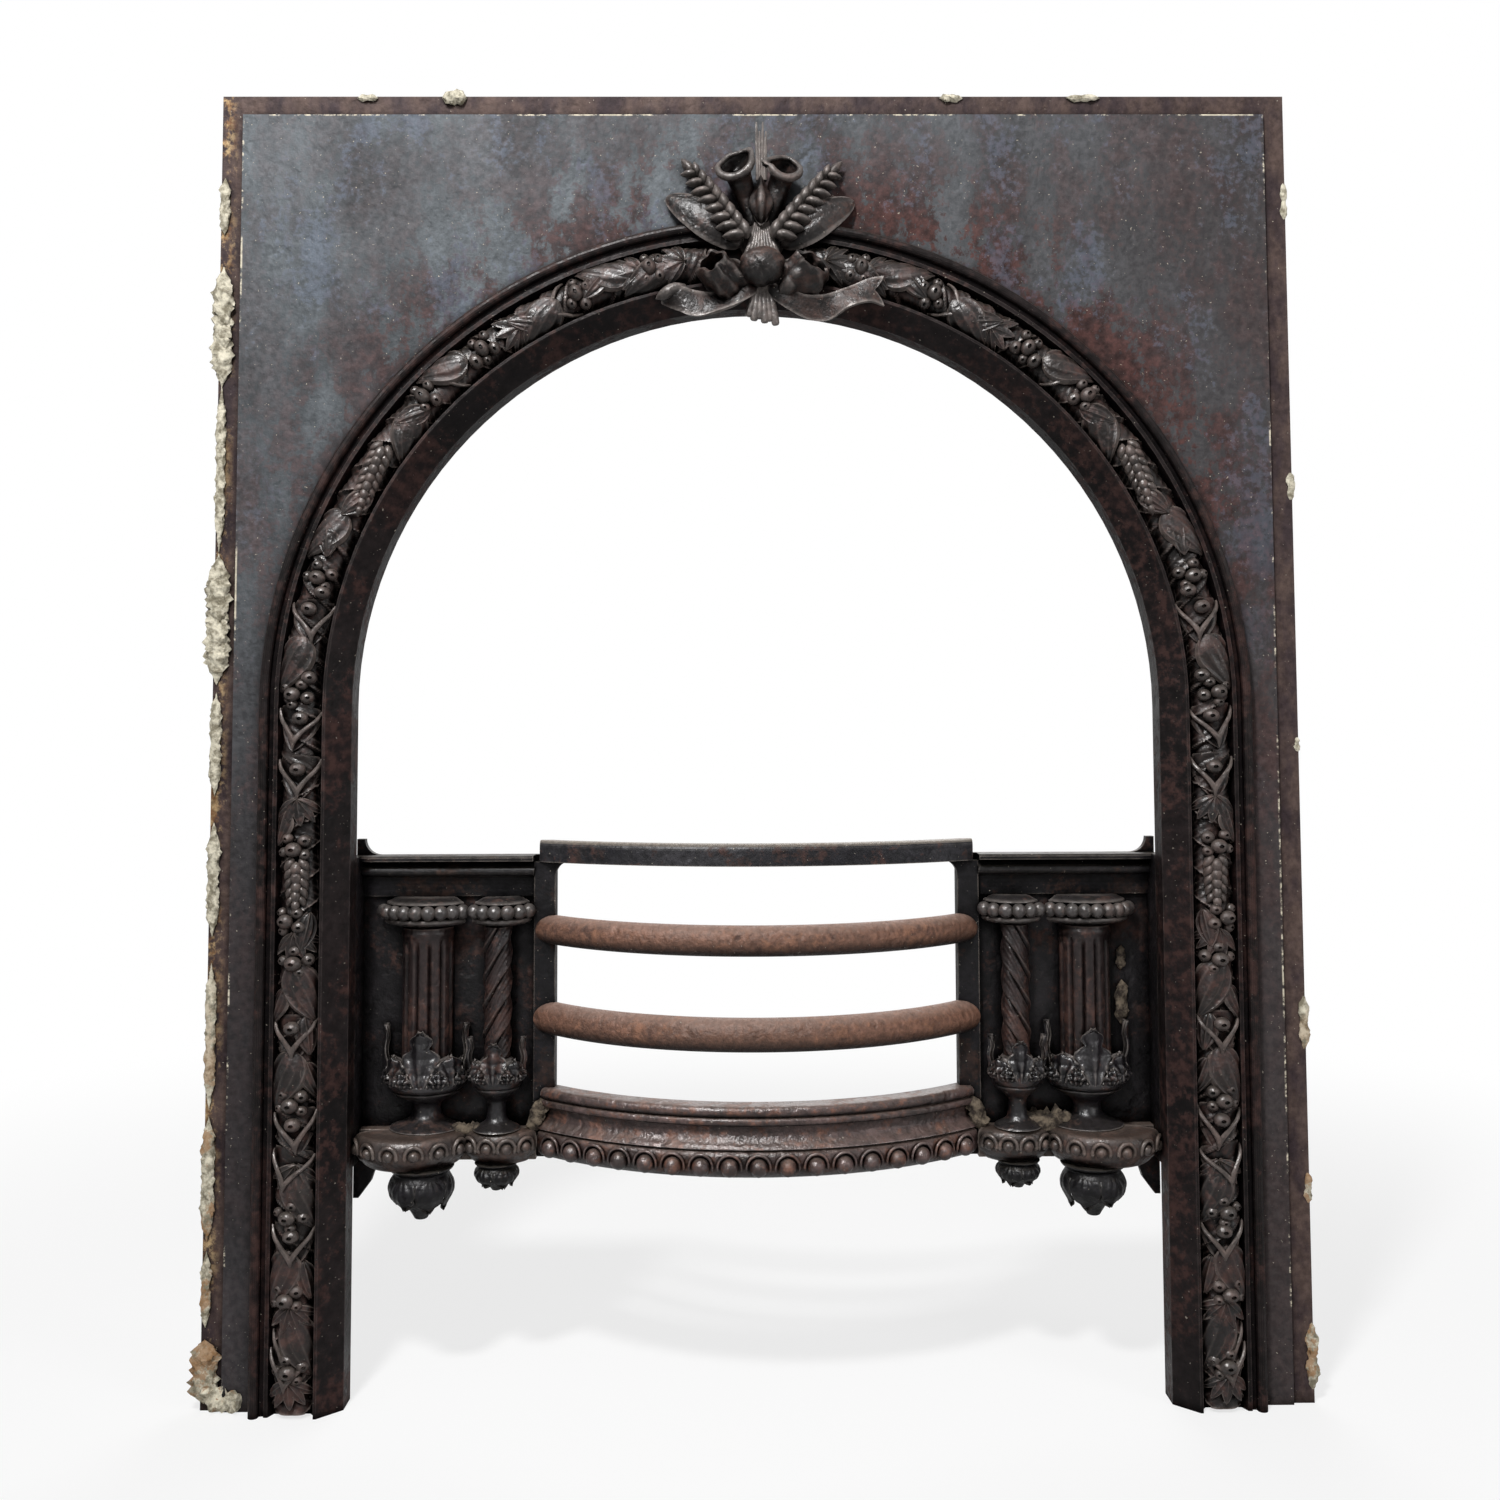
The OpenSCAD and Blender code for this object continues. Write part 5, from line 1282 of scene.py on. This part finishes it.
def wound_radius(angle, height):
    phase = np.mod(WOUND_BANDS * (height / TURN_MM + angle / (2 * np.pi)) + 0.05 * np.sin(3 * angle), 1)
    lap = np.clip(phase / 0.08, 0, 1) * np.clip((1 - phase) / 0.05, 0, 1)
    rolled_edge = 0.7 * np.exp(-((phase - 0.16) / 0.09) ** 2)
    veins = 0.22 * np.cos(2 * np.pi * 4 * phase + 2 * np.sin(2 * angle))
    return TWIST_R - 3.2 + (2.7 - 1.7 * phase + veins + rolled_edge) * lap


for part, x, out, around, along, radius_at in (
        ("fluted_column", LARGE_X, LARGE_OUT, 144, 60, fluted_radius),
        ("twisted_column", SMALL_X, SMALL_OUT, 88, 150, wound_radius)):
    foot = box_mm(f"{part}_right")[0][2]
    shaft = rolled_shaft(x, out, foot, around, along, radius_at)
    set_in_both_hobs([shaft], part, angle=60, look="hob_shaft")

# %% [markdown]
# ### Pendants
#
# Under each lobe of the shelf hangs a small leafy boss: a neck, a cap of leaves whose tips curl out and
# down, and a bud that ends in a blunt point. Many tips are worn or broken, so their lengths differ round
# the boss.

# %% Pendants
RAGGED_LEAF = [0.84, 1.0, 1.0, 0.96, 1.0, 0.98, 0.90, 0.94, 0.66, 0.0]


def make_pendant(x, out, radius, height, leaf_count):
    """A boss under the shelf and the ragged leaves that hang round it."""
    under = SHELF_UNDER
    shape = [(-0.005, 0), (0.0, 0.86), (0.04, 0.93), (0.08, 0.86), (0.13, 0.80), (0.24, 0.88), (0.40, 0.84),
             (0.55, 0.68), (0.68, 0.52), (0.80, 0.36), (0.92, 0.24), (0.985, 0.17), (1.0, 0)]
    laid = [turned(x, out, [(under - height * down, radius * r) for down, r in shape], 40, flat_back=False)]
    drop = height * 0.60
    for k in range(leaf_count):
        long = 1 + 0.20 * math.sin(2.4 * k + x)
        leaf = lobed_leaf(2 * math.pi * radius / leaf_count * 1.02, drop * long, RAGGED_LEAF, crown=1.2,
                          curl=radius * 0.03, thick=3.0, relief=0.35)
        degrees = math.radians(360 * (k + 0.5) / leaf_count)
        twin = copy_at(leaf, 0, 0)

        def rule(px, py, pz):
            reach = radius * along_curve([0.74, 0.90, 0.90, 0.74, 0.62], py / (drop * 1.2))[:, 0] + pz * 0.8
            angle = degrees + px / radius
            return x + reach * np.sin(angle), under - height * 0.12 - py, out + reach * np.cos(angle)
        reshape(twin, rule)
        twin.data.flip_normals()
        laid.append(twin)
        discard(leaf)
    return laid


for size, x, leaf_count in (("large", LARGE_X, 6), ("small", SMALL_X, 5)):
    node = f"{size}_pendant_right"
    height = SHELF_UNDER - box_mm(node)[0][2]
    pendant = make_pendant(x, middle_out(node), half_width(node), height, leaf_count)
    set_in_both_hobs(pendant, f"{size}_pendant", angle=50, look="hob_pendant")

# %% [markdown]
# ### Shelves and capitals
#
# The shelf and the capital bow out over each column, so in plan they are a large arc that meets a small
# one. Both are a moulding drawn once as a section and carried along the two arcs, with a course of domed
# beads. The capital's beads touch like a string of pearls. On the shelf every bead sits under its own
# little arch.

# %% Shelves and capitals
def meeting_x(large, small):
    """Where the fronts of two bows (middle x, middle out, half width, depth) cross."""
    x = np.linspace(small[0], large[0], 800)
    fronts = [out0 + depth * np.sqrt(np.clip(1 - ((x - x0) / half) ** 2, 0, None))
              for x0, out0, half, depth in (large, small)]
    return x[np.argmin(np.abs(fronts[0] - fronts[1]))]


def bow_run(bow, from_x, to_x):
    """A function of t that gives the place and the outward direction along a bow that faces the eye."""
    x0, out0, half, depth = bow
    first, last = (math.asin(np.clip((x - x0) / half, -1, 1)) for x in (from_x, to_x))

    def at(t):
        angle = first + (last - first) * t
        nx, nz = np.sin(angle) / half, np.cos(angle) / depth
        size = np.hypot(nx, nz)
        return x0 + half * np.sin(angle), out0 + depth * np.cos(angle), nx / size, nz / size
    return at


def moulding_run(bow, from_x, to_x, section, along=40):
    """A section (inset from the edge, height) carried along one bow, with a face that closes each end."""
    run = bow_run(bow, from_x, to_x)
    inset, height = (np.array(v, float) for v in zip(*section))
    obj = grid(len(section) - 1, along)

    def rule(x, y, z):
        corner = np.rint((x + 1) / 2 * (len(section) - 1)).astype(int)
        px, out, nx, nz = run((y + 1) / 2)
        depth = np.minimum(inset[corner], min(bow[2:]) - 1)
        return px - nx * depth, height[corner], np.maximum(out - nz * depth, PANEL_OUT)
    reshape(obj, rule)
    activate(obj)
    bpy.ops.object.mode_set(mode="EDIT")
    bpy.ops.mesh.select_mode(type="EDGE")
    bpy.ops.mesh.select_all(action="SELECT")
    bpy.ops.mesh.remove_doubles(threshold=0.01)
    bpy.ops.mesh.select_all(action="DESELECT")
    bpy.ops.mesh.select_non_manifold(extend=False)
    bpy.ops.mesh.fill()
    bpy.ops.mesh.select_all(action="SELECT")
    bpy.ops.mesh.normals_make_consistent(inside=False)
    bpy.ops.mesh.select_mode(type="FACE")
    leave_edit()
    return obj


def make_bead(dome_r, ring_r=0.0, ring=0.0, stilt=1.0, opening=50):
    """A dome, and over it a raised horseshoe that is open below by the given angle to each side."""
    dome = reshape(ball(18, 10), lambda x, y, z: (x * dome_r, y * dome_r, z * dome_r * 0.95))
    if not ring:
        return dome
    turns = np.radians(np.linspace(opening - 180, 180 - opening, 15))
    arch = pipe([(ring_r * math.sin(a), ring_r * math.cos(a) * (stilt if math.cos(a) > 0 else 1), 0)
                 for a in turns], [ring * 0.3] + [ring] * 13 + [ring * 0.3], 10, 34, beside=(0, 0, 1))
    return joined([dome, arch], "bead")


def bead_course(bow, from_x, to_x, count, height, bead, lift, tilt=0.0):
    """Beads spread evenly along a bow, each turned to face outwards."""
    run = bow_run(bow, from_x, to_x)
    c, s = math.cos(math.radians(tilt)), math.sin(math.radians(tilt))
    laid = []
    for k in range(count):
        px, out, nx, nz = run((k + 0.5) / count)
        laid.append(reshape(copy_at(bead, 0, 0), lambda x, y, z: (
            px + x * nz + (z * c - y * s + lift) * nx, height + y * c + z * s,
            out - x * nx + (z * c - y * s + lift) * nz)))
    return laid


def flat_strip(ends, low, high, out):
    """The straight part of a course, close to the panel, that the bowed runs grow out of."""
    deselect()
    bpy.ops.mesh.primitive_cube_add(size=2)
    strip = bpy.context.object
    reshape(strip, lambda x, y, z: (np.where(x > 0, ends[1][0] - 0.4, ends[0][0] + 0.4),
                                    np.where(y > 0, high, low), np.where(z > 0, out, PANEL_OUT)))
    return use_modifier(strip, "BEVEL", width=0.8, segments=3)


SHELF_ENDS = box_mm("beaded_shelf_right")
SHELF_SECTION = [(44, SHELF_Z - 1), (12, SHELF_Z), (5, SHELF_Z - 0.5), (2.5, SHELF_Z - 1),
                 (0.8, SHELF_Z - 2.5), (-0.4, SHELF_Z - 5), (-1.0, SHELF_Z - 8.5), (-1.0, SHELF_Z - 12),
                 (0, SHELF_Z - 15.5), (2.2, SHELF_Z - 18.5), (5, SHELF_Z - 20.5),
                 (6, SHELF_UNDER + 1.5), (8, SHELF_UNDER), (44, SHELF_UNDER), (44, SHELF_Z - 1)]
LARGE_LOBE = (LARGE_X + 9.5, PANEL_OUT + 4, 43, 43)
SMALL_LOBE = (SMALL_X - 2.5, PANEL_OUT - 2, 31, 31)
SHELF_MEET_X = meeting_x(LARGE_LOBE, SMALL_LOBE)

CAPITAL_ENDS = box_mm("beaded_capital_right")
CAPITAL_SECTION = [(inset, CAPITAL_Z + up) for inset, up in (
    (40, 20.5), (15, 21), (12, 20.4), (9, 18.8), (6.0, 17.4), (5.8, 16.4), (7.0, 15.8), (7.4, 11),
    (7.0, 6.6), (5.2, 5.8), (4.0, 4.6), (4.0, 3.2), (5.4, 1.8), (8, 0.6), (11, 0), (40, 0), (40, 20.5))]
CAPITAL_DEPTH = CAPITAL_ENDS[1][1] - CAPITAL_ENDS[0][1] + 2
LARGE_BOW = (LARGE_X, PANEL_OUT, 37.5, CAPITAL_DEPTH)
SMALL_BOW = (SMALL_X - 1, PANEL_OUT, 27, CAPITAL_DEPTH - 2)
CAPITAL_MEET_X = meeting_x(LARGE_BOW, SMALL_BOW)

shelf_bead = make_bead(3.9, 6.3, 1.5, stilt=1.1, opening=58)
capital_bead = make_bead(5.4)
shelf_band = [
    moulding_run(LARGE_LOBE, SHELF_ENDS[1][0], SHELF_MEET_X - 2, SHELF_SECTION),
    moulding_run(SMALL_LOBE, SHELF_MEET_X + 2, SHELF_ENDS[0][0], SHELF_SECTION),
    flat_strip(SHELF_ENDS, SHELF_UNDER + 0.5, SHELF_Z - 0.6, PANEL_OUT + 10),
    *bead_course(LARGE_LOBE, LARGE_LOBE[0] + 41, SHELF_MEET_X, 6, SHELF_Z - 11, shelf_bead, 0.6, -6),
    *bead_course(SMALL_LOBE, SHELF_MEET_X, SHELF_ENDS[0][0] + 2, 4, SHELF_Z - 11, shelf_bead, 0.6, -6)]
capital_band = [
    moulding_run(LARGE_BOW, LARGE_X + 37.4, CAPITAL_MEET_X - 1, CAPITAL_SECTION),
    moulding_run(SMALL_BOW, CAPITAL_MEET_X + 1, SMALL_X - 27.9, CAPITAL_SECTION),
    *bead_course(LARGE_BOW, LARGE_X + 36.5, CAPITAL_MEET_X - 1, 9, CAPITAL_Z + 11, capital_bead, -3.2),
    *bead_course(SMALL_BOW, CAPITAL_MEET_X + 1, SMALL_X - 27.5, 6, CAPITAL_Z + 11, capital_bead, -3.2)]
set_in_both_hobs(shelf_band, "beaded_shelf", angle=45, look="hob_shelf")
set_in_both_hobs(capital_band, "beaded_capital", angle=45)
discard(shelf_bead, capital_bead)

# %% [markdown]
# ### The bottom rail
#
# The bottom rail is the same kind of run as the shelf, only wider: a roll, a fillet, a hollow that sweeps
# forwards and a course of domed beads under little arches. It bows in one arc between the two shelves.

# %% Bottom rail
RAIL_ENDS = box_mm("bottom_rail")
RAIL_HALF_W = RAIL_ENDS[1][0]
RAIL_FRONT = FACE_Y - RAIL_ENDS[0][1] - 1.5
RAIL_BOW = 60
RAIL_R = (RAIL_HALF_W ** 2 + RAIL_BOW ** 2) / (2 * RAIL_BOW)
RAIL_FOOT = RAIL_ENDS[0][2]
RAIL_ARC = (0, RAIL_FRONT - RAIL_R, RAIL_R, RAIL_R)
RAIL_SECTION = [(inset, RAIL_FOOT + up) for inset, up in (
    (20, 50), (8, 50), (5.5, 49.4), (4.0, 47.6), (3.8, 45.2), (4.8, 43), (7.2, 42), (5.2, 41.2), (4.4, 40),
    (4.4, 37.6), (5.2, 36.4), (8.0, 35.6), (8.8, 32.5), (8.4, 29), (6.8, 26), (4.4, 23.6), (2.2, 22),
    (1.8, 20.8), (4.2, 19.6), (2.0, 18.4), (0.8, 16), (0.4, 12), (0.8, 8), (2.4, 4), (5, 1.4), (8, 0),
    (20, 0), (20, 50))]
RAIL_BEADS = 17
BEAD_SPAN = 161

rail_bead = make_bead(6.4, 8.4, 1.1, stilt=1.05, opening=72)
rail = joined([moulding_run(RAIL_ARC, RAIL_HALF_W - 0.2, 0.2 - RAIL_HALF_W, RAIL_SECTION, along=120)]
              + bead_course(RAIL_ARC, BEAD_SPAN, -BEAD_SPAN, RAIL_BEADS, RAIL_FOOT + 9, rail_bead, 0.6, -4),
              "bottom_rail_carving")
reshape(rail, onto_plate)
hand_over(rail, "bar_iron", "bottom_rail", angle=45, look="rail_iron")
discard(rail_bead)

# %% [markdown]
# ## Old mortar
#
# The plate was bedded into a wall, and crumbs of the lime mortar still hold to its edges, thick down the
# left side and stained with rust near the hearth. Each crumb is a short uneven roll, half sunk in the iron
# it clings to, so no part of it floats. A few sums of sines stand in for chance, so every run gives the
# same crumbs.

# %% Old mortar
def mortar_material():
    """Lime mortar, weathered: chalky cream, grey in its pits, ochre where rust has soaked into it. Near the
    grate it is browner with soot and darker with painted shade."""
    material = blank_material("weathered_lime_mortar")
    tree = material.node_tree
    at = add_node(tree, "TexCoord").outputs["Object"]
    place = add_node(tree, "SeparateXYZ", {"Vector": at})
    # Near the grate: soot brown and painted shade.
    by_grate = add_node(tree, "Math", {0: place.outputs["X"]}, operation="ABSOLUTE")
    by_grate = add_node(tree, "MapRange", {"Value": by_grate, "From Min": 0.36, "From Max": 0.30})
    under_arch = add_node(tree, "Math", {0: place.outputs["Z"], 1: 0.5}, operation="LESS_THAN")
    by_grate = add_node(tree, "Math", {0: by_grate, 1: under_arch}, operation="MULTIPLY")
    low = add_node(tree, "MapRange", {"Value": place.outputs["Z"], "From Min": 0.32, "From Max": 0.20,
                                      "To Max": 0.75})
    stain = add_node(tree, "Math", {0: mottled(tree, at, 12, 0.6), 1: low}, operation="MULTIPLY")
    colour = drifting(tree, at, "#7f7866", "#ded7c3", 3)
    soot_and_painted_shade = drifting(tree, at, "#2f2823", "#75695a", 3)
    for share, coat in ((stain, hex_linear("#8e6234")), (by_grate, soot_and_painted_shade)):
        colour = add_node(tree, "Mix", {"Factor": share, "A": colour, "B": coat}, data_type="RGBA")
    pits = add_node(tree, "TexNoise", {"Vector": at, "Scale": blob_scale(1.8), "Detail": 6.0})
    bump = add_node(tree, "Bump", {"Height": pits, "Distance": 1.6 * MM})
    surface = add_node(tree, "BsdfPrincipled", {"Base Color": colour, "Roughness": 0.95, "Normal": bump,
                                                "Specular IOR Level": 0.15})
    add_node(tree, "OutputMaterial", {"Surface": surface})
    return material


def make_crumb(start, end, bulge):
    """An uneven roll of mortar between two points (across, up, out) of the plate."""
    start, end = np.array(start, float), np.array(end, float)
    length = np.linalg.norm(end - start)
    steps = int(max(10, length / 2.2))
    beside = (1, 0, 0) if abs(end[1] - start[1]) > abs(end[0] - start[0]) else (0, 1, 0)
    roll = pipe([start, (start + end) / 2, end], [0, bulge, bulge * 0.9, bulge, 0], 16, steps, beside=beside)
    centre = (start + end) / 2

    def rule(x, y, z):
        run = x * 0.9 + y
        chance = (np.sin(run * 0.37 + z) + np.sin(run * 0.83 + 1.7 * z + 1)
                  + 0.8 * np.sin(run * 1.9 + 2.3 * x) + 0.6 * np.sin(run * 3.1 + 3 * z + 2)) / 3.4
        grow = 1 + 0.55 * chance
        if beside[0]:
            return centre[0] + (x - centre[0]) * grow * 1.35, y, centre[2] + (z - centre[2]) * grow * 0.8
        return x, centre[1] + (y - centre[1]) * grow, centre[2] + (z - centre[2]) * grow
    return reshape(roll, rule)


# From, to and bulge of each crumb, up the two sides and across the top.
LEFT_CRUMBS = [(858, 902, 2.6), (742, 834, 5.0), (618, 744, 2.4), (520, 618, 5.8), (438, 515, 2.8),
               (336, 420, 3.0), (212, 318, 2.6), (118, 208, 3.2), (58, 112, 2.4), (5, 50, 7.0)]
RIGHT_CRUMBS = [(868, 900, 1.8), (655, 678, 2.2), (468, 480, 1.6), (250, 292, 2.6), (140, 164, 2.0),
                (8, 58, 3.0)]
TOP_CRUMBS = [(-300, -284, 2.2), (-236, -217, 5.0), (140, 158, 2.6), (236, 262, 2.4)]
LEFT_X, RIGHT_X, TOP_Z = 3.0 - PLATE_W / 2, PLATE_W / 2 - 1, PLATE_H - 1.5
crumbs = [make_crumb((LEFT_X, low, -2), (LEFT_X, high, -2), bulge) for low, high, bulge in LEFT_CRUMBS]
crumbs.append(make_crumb((LEFT_X - 1, 9, -4), (LEFT_X + 31, 7, -4), 8.5))
crumbs += [make_crumb((RIGHT_X, low, -3.5), (RIGHT_X, high, -3.5), bulge)
           for low, high, bulge in RIGHT_CRUMBS]
crumbs += [make_crumb((low, TOP_Z, -2), (high, TOP_Z, -2), bulge) for low, high, bulge in TOP_CRUMBS]

# On the hobs it has gathered in the shelves' valleys, at the rail's ends and beside the right fluted shaft.
for side in (-1, 1):
    crumbs.append(make_crumb((side * (SHELF_MEET_X - 16), SHELF_Z - 0.5, -30),
                             (side * (SHELF_MEET_X + 14), SHELF_Z - 0.5, -32), 4.5))
    crumbs.append(make_crumb((side * (RAIL_HALF_W + 2), SHELF_Z - 4, -34),
                             (side * (RAIL_HALF_W - 3), SHELF_Z + 22, -34), 4.5))
SHAFT_SIDE_X = LARGE_X + 28
crumbs += [make_crumb((SHELF_MEET_X - 22, SHELF_Z + 1, -37), (SHELF_MEET_X + 24, SHELF_Z + 2, -38), 8.5),
           make_crumb((SHAFT_SIDE_X, 262, PANEL_OUT + 1), (SHAFT_SIDE_X + 0.5, 296, PANEL_OUT + 1), 3.2),
           make_crumb((SHAFT_SIDE_X, 303, PANEL_OUT + 1), (SHAFT_SIDE_X + 0.5, 322, PANEL_OUT + 1), 2.4)]
mortar = joined(crumbs, "old_mortar")
reshape(mortar, lambda x, y, z: onto_plate(x, np.maximum(y, 0), z))
activate(mortar)
bpy.ops.object.shade_smooth_by_angle(angle=math.radians(50))
mortar.data.materials.clear()
mortar.data.materials.append(mortar_material())
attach(mortar, "root")
print(mortar.name, len(mortar.data.polygons), "faces in", len(crumbs), "crumbs")
